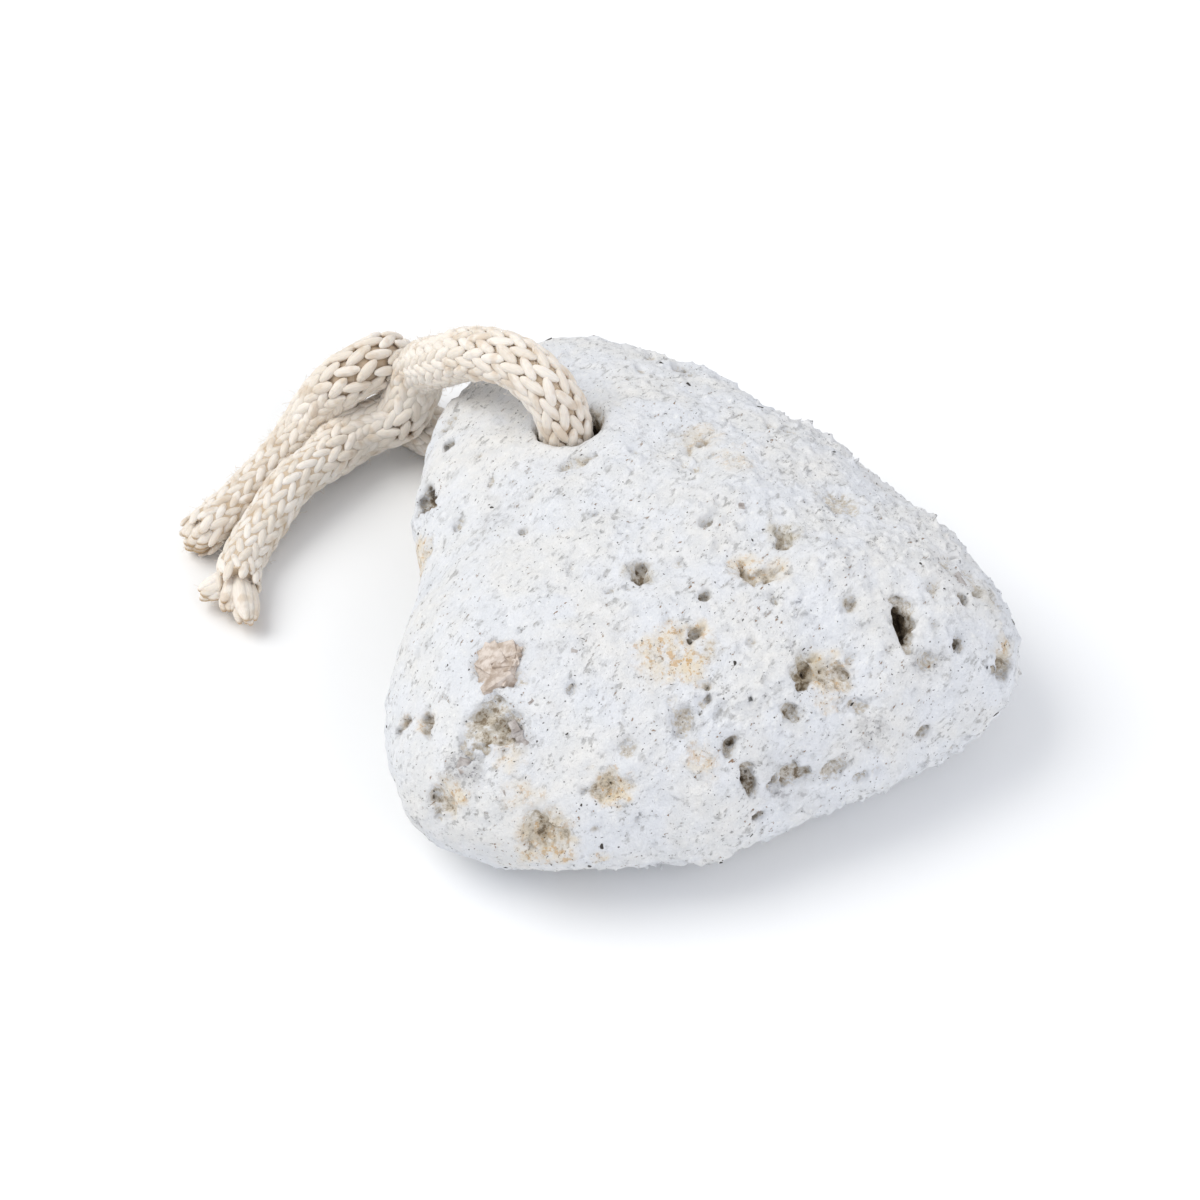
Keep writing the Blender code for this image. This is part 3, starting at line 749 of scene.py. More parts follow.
# %% [markdown]
# ## Foam, pits and vesicles
# Pumice is all bubbles. Rubbing has opened and dusted over the smallest, which leaves a lumpy, gritty skin,
# more crumbly on one side than on the other; the larger ones are pits with ragged walls, because each is many
# bubbles that ran together, drawn out in the direction in which the lava flowed. So a pit here is one rough
# bowl with a swarm of small bubbles along its wall. Noise of three sizes roughens the skin, and it warps each
# bowl, so no two look alike.

# %% The pits' places
UPRIGHT = None
PITS = [
    # x, y, z, width, length, depth, direction of its length in degrees from +X, or upright
    (20.6, -27.9, 22.7, 2.8, 6.6, 4.2, 80),
    (-3.5, -22.8, 26.0, 1.7, 3.2, 2.4, 15),
    (7.0, -30.8, 22.6, 2.8, 4.2, 2.2, 66),
    (10.4, -31.6, 21.6, 3.2, 4.6, 1.2, -24),
    (11.9, -14.0, 27.0, 1.9, 3.2, 1.8, 66),
    (-5.5, -12.0, 27.3, 2.2, 5.4, 2.2, 50),
    (5.9, -16.9, 26.9, 1.7, 4.6, 1.9, 100),
    (8.2, -18.0, 26.8, 2.0, 3.6, 1.4, 30),
    (-28.4, -23.2, 21.7, 5.0, 5.8, 1.7, 40),
    (-24.8, -17.5, 24.3, 5.2, 6.2, 0.9, 120),
    (-18.8, -33.6, 18.3, 3.4, 4.6, 1.1, -24),
    (-4.6, -35.3, 20.0, 1.9, 3.0, 2.2, 66),
    (-2.7, -38.8, 16.3, 2.0, 5.0, 2.6, UPRIGHT),
    (6.9, -39.1, 13.8, 2.2, 3.0, 2.2, 0),
    (-26.7, -33.8, 13.6, 4.4, 5.8, 1.3, UPRIGHT),
    (31.6, -32.2, 14.6, 2.6, 4.2, 2.2, UPRIGHT),
    (-3.8, 9.5, 25.5, 2.2, 4.4, 1.1, -10),
    (-35.5, -25.3, 14.7, 3.2, 4.4, 1.1, UPRIGHT),
    (-34.1, -17.2, 19.2, 1.8, 3.8, 2.0, 66),
    (-36.1, -14.4, 16.6, 1.8, 3.4, 2.0, UPRIGHT),
    (3.7, -34.1, 20.8, 2.0, 2.6, 2.0, -24),
    (-8.8, -31.4, 22.2, 2.6, 3.0, 1.2, 66),
    (26.8, -30.8, 19.3, 2.0, 2.6, 2.4, 66),
    (19.5, -37.0, 13.4, 1.8, 2.2, 2.0, 0),
    (32.9, -22.0, 19.8, 2.6, 2.8, 1.1, 66),
    (17.7, 24.3, 20.1, 2.2, 2.8, 1.2, -24),
    (4.8, -8.4, 27.3, 1.4, 2.2, 1.6, 10),
    (15.4, -24.9, 24.6, 1.8, 2.2, 1.4, 66),
    (-15.9, -31.6, 20.8, 2.4, 2.6, 1.1, 66),
    (11.6, -34.6, 19.1, 1.7, 4.2, 1.1, -24),
    (-2.3, -40.5, 11.3, 1.5, 2.4, 2.0, 0),
    (23.7, 7.8, 21.8, 1.8, 2.2, 1.2, 30),
]
SIDE_PITS, SIDE_PIT_SEED, SIDE_PIT_APART = 18, 31, 7.5
SIDE_PIT_SPANS = (
    # of the width, of the length and the depth as shares of it, and of the direction
    (1.8, 4.6), (1.0, 1.7), (0.45, 0.9), (0.0, 180.0),
)
LISTED_SIDE_ABOVE, LISTED_SIDE_BELOW_Y = 17.0, 12.0
HOLE_CLEAR = 11.0
REST_POINT, REST_CLEAR, REST_BELOW = np.array([0.0, -12.0]), 13.0, 1.0
HOLE_PROFILE = [
    # height and radius
    (3.0, 7.2), (8.0, 6.2), (10.0, 4.9), (12.5, 4.1),
    (20.5, 4.0), (24.0, 4.0), (25.0, 4.4), (29.0, 6.0),
]
FLOW_TURN = 31.0                               # the lava's flow, in degrees from +X
EXTRA_HOLLOWS = [
    # small hollows without a place in the solid, in the same order
    (1.9, -39.5, 14.8, 2.6, 5.0, 1.6, 0), (30.3, -20.8, 21.8, 2.2, 2.6, 0.9, 66),
    (11.6, 7.1, 25.1, 1.4, 3.4, 0.8, 40), (9.2, 5.4, 25.7, 1.3, 2.2, 0.7, 60),
    (-31.5, -23.5, 19.8, 1.8, 3.4, 0.8, 66), (22.4, -8.2, 24.1, 4.0, 5.0, 0.8, 80),
    (22.1, -32.1, 19.7, 2.4, 3.4, 1.0, 30), (-21.7, -33.1, 17.9, 1.1, 1.3, 1.6, 0),
    (2.5, -25.6, 25.2, 1.2, 2.0, 0.9, 60), (7.6, -5.4, 27.1, 0.7, 1.6, 0.8, 31),
    (-11.0, 6.6, 24.8, 0.8, 0.9, 0.8, 0), (-14.5, 5.7, 23.9, 0.7, 1.2, 0.7, 31),
    (-16.2, -6.2, 26.2, 0.8, 1.2, 0.7, 31), (18.0, -18.9, 25.9, 0.9, 1.6, 0.9, 31),
    (14.4, -19.8, 26.1, 0.7, 1.0, 0.8, 31), (21.2, 0.3, 24.1, 1.0, 1.8, 0.7, 60),
    (-6.8, 11.9, 24.9, 0.5, 2.4, 0.6, 31), (-27.4, -1.4, 20.2, 0.6, 1.2, 0.7, 31),
    (-25.2, -1.1, 21.9, 0.6, 1.0, 0.7, 31), (34.4, -24.3, 16.0, 2.0, 3.2, 1.1, UPRIGHT),
]
print("pits:", len(PITS), "large,", len(EXTRA_HOLLOWS), "small")

# %% Noise and places on the skin


def band_noise(shortest, longest, seed):
    """Seeded noise over the grid whose waves lie between two lengths, with a spread of one."""
    spectrum = np.fft.rfftn(np.random.default_rng(seed).standard_normal(counts))
    waves = [np.fft.fftfreq(count, VOXEL) for count in counts[:2]] + [np.fft.rfftfreq(counts[2], VOXEL)]
    pitch = np.sqrt(sum(wave ** 2 for wave in np.ix_(*waves)))
    kept = (pitch > 1.0 / longest) & (pitch < 1.0 / shortest)
    noise = np.fft.irfftn(spectrum * kept, s=counts, axes=(0, 1, 2))
    return noise / noise.std()


def sample(field, points):
    """The field at points between the grid's, by mixing the eight nearest."""
    at = (np.atleast_2d(points) - GRID_LOW) / VOXEL
    corner = np.clip(np.floor(at).astype(int), 0, counts - 2)
    part = at - corner
    total = 0.0
    for bits in np.ndindex(2, 2, 2):
        weight = np.prod(np.where(bits, part, 1.0 - part), axis=1)
        total = total + weight * field[tuple((corner + bits).T)]
    return total


def facing_out(points):
    """Unit vectors away from the smooth stone."""
    step = np.eye(3) * VOXEL
    slopes = np.stack([sample(skin, points + s) - sample(skin, points - s) for s in step], axis=1)
    return slopes / np.linalg.norm(slopes, axis=1)[:, None]


def onto_skin(points):
    """Points moved to the smooth skin."""
    points = np.atleast_2d(np.array(points, float))
    for _ in range(4):
        points = points - facing_out(points) * sample(skin, points)[:, None]
    return points


def kept_clear(places, hole_clear):
    """Which places are on the flat that the stone rests on, or too near the hole."""
    from_rest = np.linalg.norm(places[..., :2] - REST_POINT, axis=-1)
    from_hole = np.linalg.norm(places[..., :2] - HOLE, axis=-1)
    return (from_rest < REST_CLEAR) & (places[..., 2] < REST_BELOW) | (from_hole < hole_clear)


def scattered_pits():
    """Pits over the parts that the list above leaves bare, at a spacing that keeps them apart."""
    rng = np.random.default_rng(SIDE_PIT_SEED)
    taken = [np.array(pit[:3]) for pit in PITS]
    found = []
    while len(found) < SIDE_PITS:
        direction = rng.normal(size=3)
        direction /= np.linalg.norm(direction)
        width, longer, deeper, turn = (rng.uniform(*span) for span in SIDE_PIT_SPANS)
        place = blank_point(direction)
        listed = place[2] > LISTED_SIDE_ABOVE and place[1] < LISTED_SIDE_BELOW_Y
        crowded = any(np.linalg.norm(place - other) < SIDE_PIT_APART for other in taken)
        if not (listed or crowded or kept_clear(place, HOLE_CLEAR)):
            taken.append(place)
            found.append((*place, width, width * longer, width * deeper, turn))
    return found


side_pits = scattered_pits()
print("side pits:", len(side_pits))

# %% Roughen the skin
LUMPS, CRUMBS, GRIT = (3.0, 6.5), (1.2, 2.6), (0.9, 1.2)        # the shortest and longest waves of each noise
LUMPS_HIGH, CRUMBS_HIGH, GRIT_HIGH = 0.08, 0.07, 0.05
ROUND_CRUMBS, CREASE = 0.11, 0.8               # round crumbs with creases between them
CALM, CALM_TO_CRUMBLY = 0.45, 1.3              # worn smoother on one side, crumbly on the other
RUBBED_FLAT, RUBBED_UP_TO = 0.25, 1.5          # the flat that it rests on is rubbed smoother

lumpy, crumbly, gritty = (band_noise(*waves, seed) for seed, waves in enumerate((LUMPS, CRUMBS, GRIT), 1))
warp = 0.5 * lumpy + 0.9 * crumbly
rubbed = RUBBED_FLAT + (1.0 - RUBBED_FLAT) * ease(Z, 0.0, RUBBED_UP_TO)
crumbs = CALM + CALM_TO_CRUMBLY * ease(X - 0.6 * Y, -25.0, 22.0)
fine = CRUMBS_HIGH * crumbly + ROUND_CRUMBS * (CREASE - np.abs(crumbly)) + GRIT_HIGH * gritty
stone = skin + rubbed * (LUMPS_HIGH * lumpy + crumbs * fine)
print("roughness:", round(float(np.abs(stone - skin).mean()), 3), "mm on average")

# %% A tool that carves
CARVE_REACH = 1.3                              # how far beyond a bowl's own size its ragged wall can reach


def carve(middle, frame_axes, half_sizes, ragged, rounding):
    """Take a warped ellipsoid out of the stone, working only on the part of the grid around it."""
    span = max(half_sizes) * (CARVE_REACH + ragged) + rounding
    low = np.maximum(np.floor((middle - span - GRID_LOW) / VOXEL).astype(int), 0)
    high = np.minimum(np.ceil((middle + span - GRID_LOW) / VOXEL).astype(int) + 1, counts)
    part = tuple(slice(a, b) for a, b in zip(low, high))
    away = np.stack(np.meshgrid(*[axes[k][part[k]] - middle[k] for k in range(3)], indexing="ij"), axis=-1)
    shares = (away @ frame_axes.T) / half_sizes
    distance = np.sqrt((shares ** 2).sum(axis=-1)) * (1.0 + ragged * warp[part])
    stone[part] = smooth_max(stone[part], (1.0 - distance) * min(half_sizes), rounding)


def pit_axes(normal, turn):
    """A pit's length, width and depth directions."""
    heading = np.array([0.0, 0.0, 1.0])
    if turn is not UPRIGHT:
        heading = np.array([math.cos(math.radians(turn)), math.sin(math.radians(turn)), 0.0])
    length = heading - normal * (heading @ normal)
    length /= np.linalg.norm(length)
    return np.array([length, np.cross(normal, length), normal])


# %% Carve the pits
BUBBLE_SEED = 5
BOWL_SHARE, BOWL_RAGGED = 0.92, 0.2
BIG_PIT = 1.5                                  # a pit wider than this has small bubbles along its wall
RIM_ROUNDING, SMALL_RIM_ROUNDING = 0.45, 0.2
BUBBLES, BUBBLES_PER_MM = 3, 2.4
BUBBLE_SHARES, SMALLEST_BUBBLE = (0.1, 0.24), 0.35
BUBBLE_STRETCH = np.array([1.6, 1.0, 1.0])
BUBBLE_RAGGED, BUBBLE_LIFT = 0.15, 0.15

rng = np.random.default_rng(BUBBLE_SEED)
pits = PITS + side_pits + EXTRA_HOLLOWS
middles = onto_skin([pit[:3] for pit in pits])
for pit, middle, normal in zip(pits, middles, facing_out(middles)):
    width, length, depth, turn = pit[3:]
    frame_axes = pit_axes(normal, turn)
    half = np.array([length / 2.0, width / 2.0, depth])
    big = width > BIG_PIT
    carve(middle, frame_axes, half * BOWL_SHARE, BOWL_RAGGED, RIM_ROUNDING if big else SMALL_RIM_ROUNDING)
    for _ in range(int(BUBBLES + BUBBLES_PER_MM * length) if big else 0):
        way = rng.normal(size=3)
        way /= np.linalg.norm(way)
        way[2] = BUBBLE_LIFT - abs(way[2])
        bubble = np.maximum(width * rng.uniform(*BUBBLE_SHARES) * BUBBLE_STRETCH, SMALLEST_BUBBLE)
        carve(middle + (way * half) @ frame_axes, frame_axes, bubble, BUBBLE_RAGGED, BUBBLE_RAGGED)
print("pits:", len(pits))

# %% Vesicles and the drilled hole
VESICLES = 520
MOUTH_CLEAR, MOUTH_ROUNDING, BORE_RAGGED = 6.0, 0.9, 0.12
VESICLE_NARROWEST, VESICLE_WIDER, SMALLEST_VESICLE = 0.5, 1.3, 0.3
VESICLE_RAGGED, VESICLE_ROUNDING = 0.2, 0.12
FLOW_SPREAD = 25.0                             # degrees that they stray from the flow

near_skin = np.flatnonzero(np.abs(skin) < VOXEL / 2.0)
spots = np.stack(np.unravel_index(rng.choice(near_skin, VESICLES), counts), axis=1) * VOXEL + GRID_LOW
spots = onto_skin(spots[~kept_clear(spots, MOUTH_CLEAR)])
for spot, normal in zip(spots, facing_out(spots)):
    width = VESICLE_NARROWEST + VESICLE_WIDER * rng.random() ** 3      # most are small
    half = width / 2.0 * np.array([rng.uniform(1.0, 2.2), 1.0, rng.uniform(0.8, 2.0)])
    turned = pit_axes(normal, FLOW_TURN + rng.normal(0.0, FLOW_SPREAD))
    carve(spot, turned, np.maximum(half, SMALLEST_VESICLE), VESICLE_RAGGED, VESICLE_ROUNDING)
bore_radius = np.interp(Z, *zip(*HOLE_PROFILE))
bore = bore_radius - np.hypot(X - HOLE[0], Y - HOLE[1]) - BORE_RAGGED * crumbly
stone = smooth_max(stone, bore, MOUTH_ROUNDING)
print("vesicles:", len(spots))

# %% [markdown]
# ## From field to mesh
# A field becomes a mesh where it crosses zero. Each grid cell that the skin passes through gets one point, at
# the middle of the places where its edges are crossed, and each crossed edge gets one quad between its four
# cells. This method, surface nets, gives even quads and needs no table of cases. Bits cut loose by the pits
# fall away.

# %% Surface nets
JUST_INSIDE = -0.02


def fill_pinches(field):
    """Fill the air where two bits of stone meet only along an edge, which no closed surface can follow."""
    pinches = 1
    while pinches:
        pinches = 0
        for first, second in ((0, 1), (1, 2), (2, 0)):
            views = {}
            for i, j in np.ndindex(2, 2):
                window = [slice(None)] * 3
                window[first] = slice(i, counts[first] - 1 + i)
                window[second] = slice(j, counts[second] - 1 + j)
                views[i, j] = field[tuple(window)]
            for solid, air in (((0, 0), (1, 1)), ((0, 1), (1, 0))), (((0, 1), (1, 0)), ((0, 0), (1, 1))):
                touch = (views[solid[0]] < 0.0) & (views[solid[1]] < 0.0)
                touch &= (views[air[0]] >= 0.0) & (views[air[1]] >= 0.0)
                for corner in air:
                    views[corner][touch] = JUST_INSIDE
                pinches += int(touch.sum())


def surface_nets(field):
    """The points, in millimetres, and the quads of the surface where a field on the grid is zero."""
    inside = field < 0.0
    windows = [[slice(0, -1) if near else slice(1, None) for near in bits] for bits in np.ndindex(2, 2, 2)]
    within = sum(inside[tuple(window)].astype(np.int8) for window in windows)
    cells = np.argwhere((within > 0) & (within < 8))
    number = np.full(counts - 1, -1)
    number[tuple(cells.T)] = np.arange(len(cells))
    total = np.zeros((len(cells), 3))
    hits = np.zeros(len(cells))
    for axis in range(3):
        for bits in np.ndindex(2, 2, 2):
            if bits[axis]:
                continue
            start = np.array(bits)
            step = np.eye(3, dtype=int)[axis]
            a, b = field[tuple((cells + start).T)], field[tuple((cells + start + step).T)]
            hit = (a < 0.0) != (b < 0.0)
            share = np.where(hit, a / np.where(hit, a - b, 1.0), 0.0)
            total += hit[:, None] * (start + share[:, None] * step)
            hits += hit
    points = (cells + total / hits[:, None]) * VOXEL + GRID_LOW
    quads = []
    for axis in range(3):
        first, second = (axis + 1) % 3, (axis + 2) % 3
        low = np.moveaxis(inside, axis, 0)
        changes = np.moveaxis(low[1:] != low[:-1], 0, axis)
        edges = np.argwhere(changes)
        edges = edges[(edges[:, first] > 0) & (edges[:, second] > 0)]
        back_first, back_second = np.eye(3, dtype=int)[first], np.eye(3, dtype=int)[second]
        around = [edges - back_first - back_second, edges - back_second, edges, edges - back_first]
        quad = np.stack([number[tuple(cell.T)] for cell in around], axis=1)
        leaves = inside[tuple(edges.T)]
        quads.append(np.where(leaves[:, None], quad, quad[:, ::-1]))
    return points, np.vstack(quads)


def largest_part(points, quads):
    """Only the largest connected surface."""
    label = np.arange(len(points))
    while True:
        lowest = label[quads].min(axis=1)
        new = label.copy()
        for side in range(4):
            np.minimum.at(new, quads[:, side], lowest)
        new = new[new]
        if (new == label).all():
            break
        label = new
    keep = label == np.bincount(label).argmax()
    renumber = np.cumsum(keep) - 1
    return points[keep], renumber[quads[keep[quads[:, 0]]]]


fill_pinches(stone)
points, quads = largest_part(*surface_nets(stone))
stone_mesh = mesh_from("pumice_skin", points, quads.tolist())
print("stone:", len(points), "points,", len(quads), "quads")

# %% [markdown]
# ## What the minerals leave on the skin
# Clean pumice is a cool white. Iron has stained some hollows ochre and others olive, and grey glass shows in
# a few. These are marks at certain places, so each point of the mesh keeps how far it is into each kind of
# mark, with ragged borders, and how deep it lies under the worn skin. The material reads those numbers.

# %% Stains and depth
STAINS = {
    # kind: x, y, z, radius, strength
    "ochre": [
        (-26.4, -33.1, 12.7, 4.0, 0.7), (-27.6, -30.4, 17.3, 2.6, 0.4), (-18.3, -33.0, 17.2, 2.7, 1.0),
        (-6.8, -24.1, 25.1, 4.6, 0.7), (-5.5, -26.2, 24.4, 2.6, 0.9), (-8.2, -35.2, 18.7, 2.4, 0.5),
        (9.4, -30.9, 20.3, 3.6, 0.7), (6.2, -16.2, 25.7, 2.6, 0.8), (9.2, -17.8, 26.0, 2.0, 0.6),
        (12.2, 8.0, 24.8, 3.0, 0.35), (13.0, 1.4, 26.3, 3.0, 0.3), (-27.9, -26.2, 20.4, 2.4, 0.5),
        (-34.1, -17.2, 19.2, 1.8, 0.8), (-36.1, -14.4, 16.6, 1.6, 0.6), (-34.7, -26.2, 15.9, 2.4, 0.7),
        (-23.5, 11.4, 15.0, 3.6, 0.7), (-21.2, -36.5, 10.1, 1.2, 0.7), (-24.9, -35.2, 10.1, 1.4, 0.6),
        (32.6, -30.8, 15.4, 2.2, 0.5), (-2.6, -22.4, 26.0, 1.6, 0.9), (-24.7, -15.0, 24.2, 1.4, 0.6),
    ],
    "olive": [
        (-28.2, -22.6, 20.6, 2.6, 0.8), (7.6, -29.1, 21.0, 2.4, 1.0), (-26.5, -33.0, 13.0, 3.0, 0.4),
        (12.4, -13.0, 25.9, 2.4, 0.7), (-5.5, -12.0, 27.3, 2.6, 0.5), (33.6, -24.0, 18.0, 3.0, 0.4),
        (22.4, -8.2, 24.1, 3.2, 0.3), (-3.8, 9.5, 25.5, 1.8, 0.5), (10.8, 8.6, 24.8, 2.6, 0.35),
        (32.4, -30.8, 15.0, 2.6, 0.5), (-3.0, -25.0, 25.2, 2.0, 0.4), (-26.2, -24.7, 21.8, 1.2, 0.7),
    ],
    "grey": [
        (-32.6, -25.3, 18.6, 2.8, 0.9), (-8.8, -31.4, 22.2, 2.6, 0.5), (12.2, -36.6, 16.4, 2.6, 0.5),
        (22.1, -32.1, 19.7, 2.8, 0.5), (-14.9, 6.6, 23.3, 4.0, 0.3), (30.3, -20.8, 21.8, 2.4, 0.35),
        (-19.8, -18.5, 26.1, 2.2, 0.3), (1.0, -38.6, 14.6, 3.6, 0.5), (17.7, 24.3, 20.1, 1.8, 0.5),
        (-26.1, -25.9, 21.1, 1.6, 0.7),
    ],
}
STAIN_RAGGED = 0.35
STAIN_CORE, STAIN_EDGE = 0.35, 1.15            # where a stain starts to fade and where it ends, in its radii


def write_marks(mesh, points):
    """Store how deep each point lies under the worn skin, and how far it is into each kind of stain."""
    store(mesh, "depth", -sample(skin, points))
    ragged = 0.35 * sample(lumpy, points) + 0.45 * sample(crumbly, points)
    for kind, marks in STAINS.items():
        amount = np.zeros(len(points))
        for x, y, z, radius, strength in marks:
            away = np.linalg.norm(points - (x, y, z), axis=1) / radius + STAIN_RAGGED * ragged
            amount = np.maximum(amount, strength * (1.0 - ease(away, STAIN_CORE, STAIN_EDGE)))
        store(mesh, kind, amount)


write_marks(stone_mesh, points)
print("marks stored:", ["depth", *STAINS])

# %% [markdown]
# ## Powdery foam
# The skin is broken glass foam with its own dust in it: no shine at all, a cool white that drifts to cream,
# with grit, grey smudges of painted shade in the small hollows where the foam was rubbed open, and brown and
# black flecks, drawn out along the lava's flow. Each stain is a pale wash, veins and dark spots. The pits get
# painted shade that deepens with their depth: beige, then brown, then nearly black, with ragged borders. All
# of it is noise in the stone's own coordinates, at sizes in millimetres. The finest grit is relief in the
# shading only: it is smaller than the mesh's own faces.

# %% Patterns and layers
STAIN_TINTS = {
    # kind: the wash, the veins, the spots
    "grey": ("#B6B5B4", "#98979A", "#6F6E70"),
    "olive": ("#BDB39E", "#9C8F76", "#6A5D49"),
    "ochre": ("#E0D1B6", "#C9A472", "#7B5A39"),
}
# painted shade in the pits: the deeper a point lies under the worn skin, the darker it is drawn
PIT_SHADE_TINTS = [
    # painted shade tint, the depths in mm where it begins and is full, and how full that is
    ("#C6BCAB", 0.5, 1.3, 0.65), ("#83725A", 1.4, 2.8, 0.85), ("#3B3128", 2.6, 4.6, 0.9),
]
PIT_EDGE_SHIFT, PIT_EDGE_MIDDLE = 2.4, 1.2     # how far in mm noise shifts those depths, in all and halfway


def patches(add, along, size, low, high, bare=0.0, full=1.0, detail=3.0, roughness=0.6):
    """How much of a mark there is at each place: noise with lumps of that size in mm, which takes the mark
    from bare to full where it rises from low to high."""
    lumps = add("ShaderNodeTexNoise", {
        "Vector": along, "Scale": per_mm(size), "Detail": detail, "Roughness": roughness,
    })
    return add("ShaderNodeMapRange", {
        "Value": lumps, "From Min": low, "From Max": high, "To Min": bare, "To Max": full,
    }, interpolation_type="SMOOTHSTEP")


def lay_over(add, under, over, amount, within=None):
    """One colour over another, by an amount that a second one may limit."""
    if within:
        amount = add("ShaderNodeMath", [amount, within], operation="MULTIPLY")
    return add("ShaderNodeMix", {"Factor": amount, "A": under, "B": over}, data_type="RGBA")


# %% Pumice: dust, grit and painted shade in small hollows
FLOW_STRETCH = 1.9

pumice, add, shader = new_material("powdery white pumice")
here = add("ShaderNodeTexCoord", {}, "Object")
flow = add("ShaderNodeMapping", {
    "Vector": here, "Rotation": (0.0, 0.0, math.radians(FLOW_TURN)), "Scale": (FLOW_STRETCH, 1.0, 1.0),
}, vector_type="TEXTURE")
broken = patches(add, here, 4.5, 0.4, 0.6, 0.35)       # how far the skin is broken up
colour = lay_over(add, "#E2E4E8", "#E5E4E2", patches(add, here, 9.0, 0.38, 0.62))
colour = lay_over(add, colour, "#D4D7DB", patches(add, here, 2.2, 0.35, 0.65, full=0.4))
grit = patches(add, flow, 0.5, 0.56, 0.72, full=0.7, roughness=0.7)
colour = lay_over(add, colour, "#A3A4A5", grit, broken)
colour = lay_over(add, colour, "#F2F2F0", patches(add, flow, 0.5, 0.44, 0.3, full=0.5, roughness=0.7))
# painted shade: grey smudges for the shade in tiny hollows of the rubbed-open foam, where the relief below
# sinks too
hollow_shade = patches(add, flow, 1.0, 0.55, 0.67, full=0.6, roughness=0.65)
colour = lay_over(add, colour, "#9F9E9C", hollow_shade, broken)
print("base colour made of", len(shader.id_data.nodes), "nodes")

# %% Pumice: stains, and painted shade in the pits
kept = {name: add("ShaderNodeAttribute", {}, "Fac", attribute_name=name) for name in ("depth", *STAINS)}
shares = [
    patches(add, here, 1.2, 0.32, 0.62, 0.25, 0.95),
    patches(add, here, 0.9, 0.53, 0.62, roughness=0.7),
    patches(add, here, 0.6, 0.62, 0.7, detail=2.0),
]
for name, tints in STAIN_TINTS.items():
    for tint, share in zip(tints, shares):
        colour = lay_over(add, colour, tint, kept[name], share)
depth = add("ShaderNodeMath", [kept["depth"], PIT_EDGE_MIDDLE], operation="SUBTRACT")
edge = patches(add, here, 0.7, 0.3, 0.7, roughness=0.7)
depth = add("ShaderNodeMath", [edge, PIT_EDGE_SHIFT, depth], operation="MULTIPLY_ADD")
below_skin = add("ShaderNodeMapRange", {
    "Value": kept["depth"], "From Min": 0.3, "From Max": 0.8,
}, interpolation_type="SMOOTHSTEP")
# painted shade, darker with depth below the worn skin
for tint, start, end, full in PIT_SHADE_TINTS:
    within = add("ShaderNodeMapRange", {
        "Value": depth, "From Min": start, "From Max": end, "To Max": full,
    }, interpolation_type="SMOOTHSTEP")
    colour = lay_over(add, colour, tint, within, below_skin)
print("with stains and pits:", len(shader.id_data.nodes))

# %% Pumice: flecks and relief
drifts = patches(add, here, 5.5, 0.48, 0.6, full=0.85, detail=2.0)
colour = lay_over(add, colour, "#8A6A4C", patches(add, flow, 0.5, 0.66, 0.71, detail=2.0), drifts)
colour = lay_over(add, colour, "#35302B", patches(add, here, 0.4, 0.71, 0.76, full=0.85, detail=1.0))
colour = lay_over(add, colour, "#35302B", patches(add, flow, 0.9, 0.755, 0.79, full=0.9, detail=2.0))
lumps = add("ShaderNodeTexNoise", {"Vector": here, "Scale": per_mm(0.9), "Detail": 4.0, "Roughness": 0.8})
open_foam = patches(add, flow, 1.0, 0.54, 0.7, 1.0, 0.0, roughness=0.65)
grains = add("ShaderNodeTexNoise", {"Vector": flow, "Scale": per_mm(0.5), "Detail": 3.0, "Roughness": 0.7})
relief = {}
for height, strength, deep in ((lumps, 0.9, 0.35), (open_foam, 0.8, 0.16), (grains, 0.8, 0.2)):
    bump = add("ShaderNodeBump", {"Height": height, "Strength": strength, "Distance": deep * MM, **relief})
    relief = {"Normal": bump}
plug(shader, {"Base Color": colour, "Roughness": 0.95, "Specular IOR Level": 0.15, **relief})
print("material:", pumice.name)

# %% [markdown]
# ## Crystals
# Crystals grew in the lava before it frothed, and the rubbed skin has cut through some. The largest is a
# smoky brown feldspar; smaller ones are grey and glassy. Cleavage gives them flat faces, so each is a cluster
# of blocks, and each block is the hull of a box whose corners are a little out, set with its top about level
# with the skin.

# %% Crystals
CRYSTALS = [
    # x, y, z, spread of the cluster, blocks, size of a block, tint
    (-24.6, -17.2, 23.8, 1.9, 11, 4.1, "smoky"), (-26.2, -24.7, 21.8, 0.3, 2, 1.5, "clear"),
    (-26.1, -25.9, 21.1, 0.3, 2, 1.4, "clear"), (-23.7, -22.9, 23.5, 0.2, 2, 1.1, "clear"),
    (-32.6, -25.3, 18.6, 1.0, 3, 1.4, "clear"), (-17.6, -20.2, 26.2, 0.5, 2, 1.1, "clear"),
    (30.4, -23.2, 21.2, 0.8, 2, 1.3, "clear"), (9.4, -7.6, 27.2, 0.3, 1, 1.1, "clear"),
    (-12.8, 6.4, 24.2, 0.1, 1, 0.7, "clear"), (-29.6, -29.0, 17.6, 0.8, 2, 1.1, "clear"),
]
CRYSTAL_TINTS = {"smoky": ("#B3A08F", "#DFD3C9"), "clear": ("#958B86", "#C9C3BF")}
CRYSTAL_SEED, CRYSTAL_HEADING = 9, 120.0
BLOCK_SHAPE = np.array([1.0, 0.7, 0.72])
BLOCK_TILT, BLOCK_SUNK = 0.26, 0.36            # how far it leans at most; how deep its middle is, in sizes

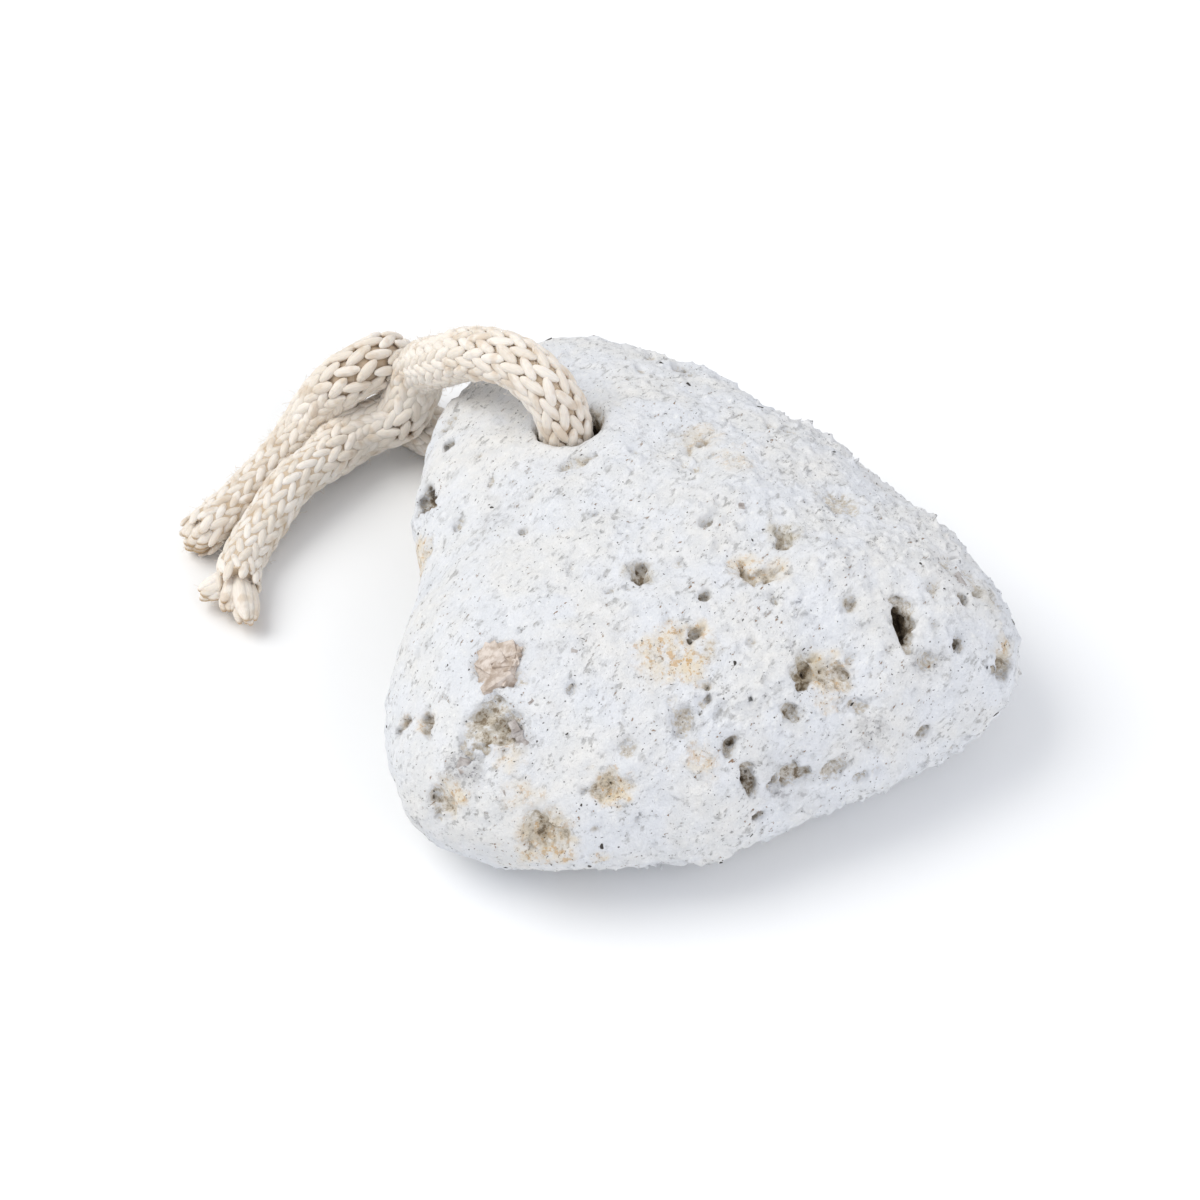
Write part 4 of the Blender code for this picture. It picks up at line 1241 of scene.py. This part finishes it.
rng = np.random.default_rng(CRYSTAL_SEED)
crystals = {tint: bmesh.new() for tint in CRYSTAL_TINTS}
for x, y, z, spread, blocks, size, tint in CRYSTALS:
    middle = onto_skin((x, y, z))[0]
    turned = pit_axes(facing_out(middle[None])[0], CRYSTAL_HEADING)
    for _ in range(blocks):
        offset = rng.uniform(-1.0, 1.0, size=2) * spread
        tilt = np.array([*rng.uniform(-BLOCK_TILT, BLOCK_TILT, size=2), 1.0]) @ turned
        block = pit_axes(tilt / np.linalg.norm(tilt), rng.uniform(0.0, 180.0))
        centre = middle + np.array([*offset, rng.uniform(-0.02, 0.05) - BLOCK_SUNK * size]) @ turned
        box = np.array(list(np.ndindex(2, 2, 2))) - 0.5
        box = box * rng.uniform(0.8, 1.0, size=(8, 3)) * size * BLOCK_SHAPE
        verts = [crystals[tint].verts.new((centre + point @ block) * MM) for point in box]
        hull = bmesh.ops.convex_hull(crystals[tint], input=verts)
        bmesh.ops.delete(crystals[tint], geom=hull["geom_interior"], context="VERTS")
crystal_pieces = []
for tint, cluster in crystals.items():
    feldspar, add, shader = new_material(tint + " feldspar")
    here = add("ShaderNodeTexCoord", {}, "Object")
    veins = patches(add, here, 1.1, 0.35, 0.65, detail=4.0, roughness=0.65)
    plug(shader, {
        "Base Color": lay_over(add, *CRYSTAL_TINTS[tint], veins),
        "Roughness": 0.3, "Transmission Weight": 0.15, "IOR": 1.53,
    })
    mesh = bpy.data.meshes.new(tint + "_crystals")
    bmesh.ops.recalc_face_normals(cluster, faces=cluster.faces)
    cluster.to_mesh(mesh)
    cluster.free()
    crystal_pieces.append(add_object(mesh.name, mesh, feldspar))
print("crystals:", [len(piece.data.polygons) for piece in crystal_pieces])

# %% [markdown]
# ## Mineral grains
# Black and brown grains of hornblende and iron ore sit in the skin, some proud of it, some fallen out. They
# are too many to place by hand and small enough to share one shape, so a tree scatters them over the stone's
# skin, turns and sizes each at random, and sinks them half in.

# %% Mineral grains
grains_tree, add, ask = new_tree("mineral grains", {
    "Density": 20000.0,                        # in each square metre
    "Smallest": 0.09 * MM,
    "Largest": 0.45 * MM,
    "Rarity of large ones": 6.0,
    "Seed": 4,
    "Material": None,
})
seats = add("GeometryNodeDistributePointsOnFaces", {
    "Mesh": ask["Geometry"], "Density": ask["Density"], "Seed": ask["Seed"],
})
knocks = add("FunctionNodeRandomValue", {
    "Min": (-0.3, -0.3, -0.3), "Max": (0.3, 0.3, 0.3), "Seed": 2,
}, data_type="FLOAT_VECTOR")
rock = add("GeometryNodeMeshIcoSphere", {"Radius": 1.0, "Subdivisions": 1})
rock = add("GeometryNodeSetPosition", {"Geometry": rock, "Offset": knocks})
chance = add("FunctionNodeRandomValue", {"Seed": 8})
chance = add("ShaderNodeMath", [chance, ask["Rarity of large ones"]], operation="POWER")
radius = add("ShaderNodeMapRange", {"Value": chance, "To Min": ask["Smallest"], "To Max": ask["Largest"]})
longer = add("FunctionNodeRandomValue", {"Min": 0.8, "Max": 1.7, "Seed": 9})
form = add("ShaderNodeCombineXYZ", [longer, 0.8, 0.35])
spin = add("FunctionNodeRandomValue", {
    "Min": (-0.4, -0.4, 0.0), "Max": (0.4, 0.4, 2.0 * math.pi), "Seed": 10,
}, data_type="FLOAT_VECTOR")
rocks = add("GeometryNodeInstanceOnPoints", {
    "Points": seats, "Instance": rock,
    "Rotation": add("FunctionNodeRotateRotation", {
        "Rotation": socket(seats.node.outputs, "Rotation"), "Rotate By": spin,
    }, rotation_space="LOCAL"),
    "Scale": add("ShaderNodeVectorMath", {0: form, "Scale": radius}, operation="SCALE"),
})
finish_tree(grains_tree, rocks, ask["Material"])

ore, _, shader = new_material("dark mineral grains")
plug(shader, {"Base Color": "#35302B", "Roughness": 0.55})
mineral_grains = add_object("mineral_grains", grow(grains_tree, stone_mesh.copy(), {"Material": ore}), ore)
print("grains:", len(mineral_grains.data.polygons) // 20)

# %% [markdown]
# ## Put the looks on the frame
# The stone's skin stands for the solid stone. Everything on it goes where the stone goes.

pumice_skin = add_object("pumice_skin", stone_mesh, pumice)
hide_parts("pumice_stone")
for piece in (pumice_skin, mineral_grains, *crystal_pieces):
    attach(piece, "root")
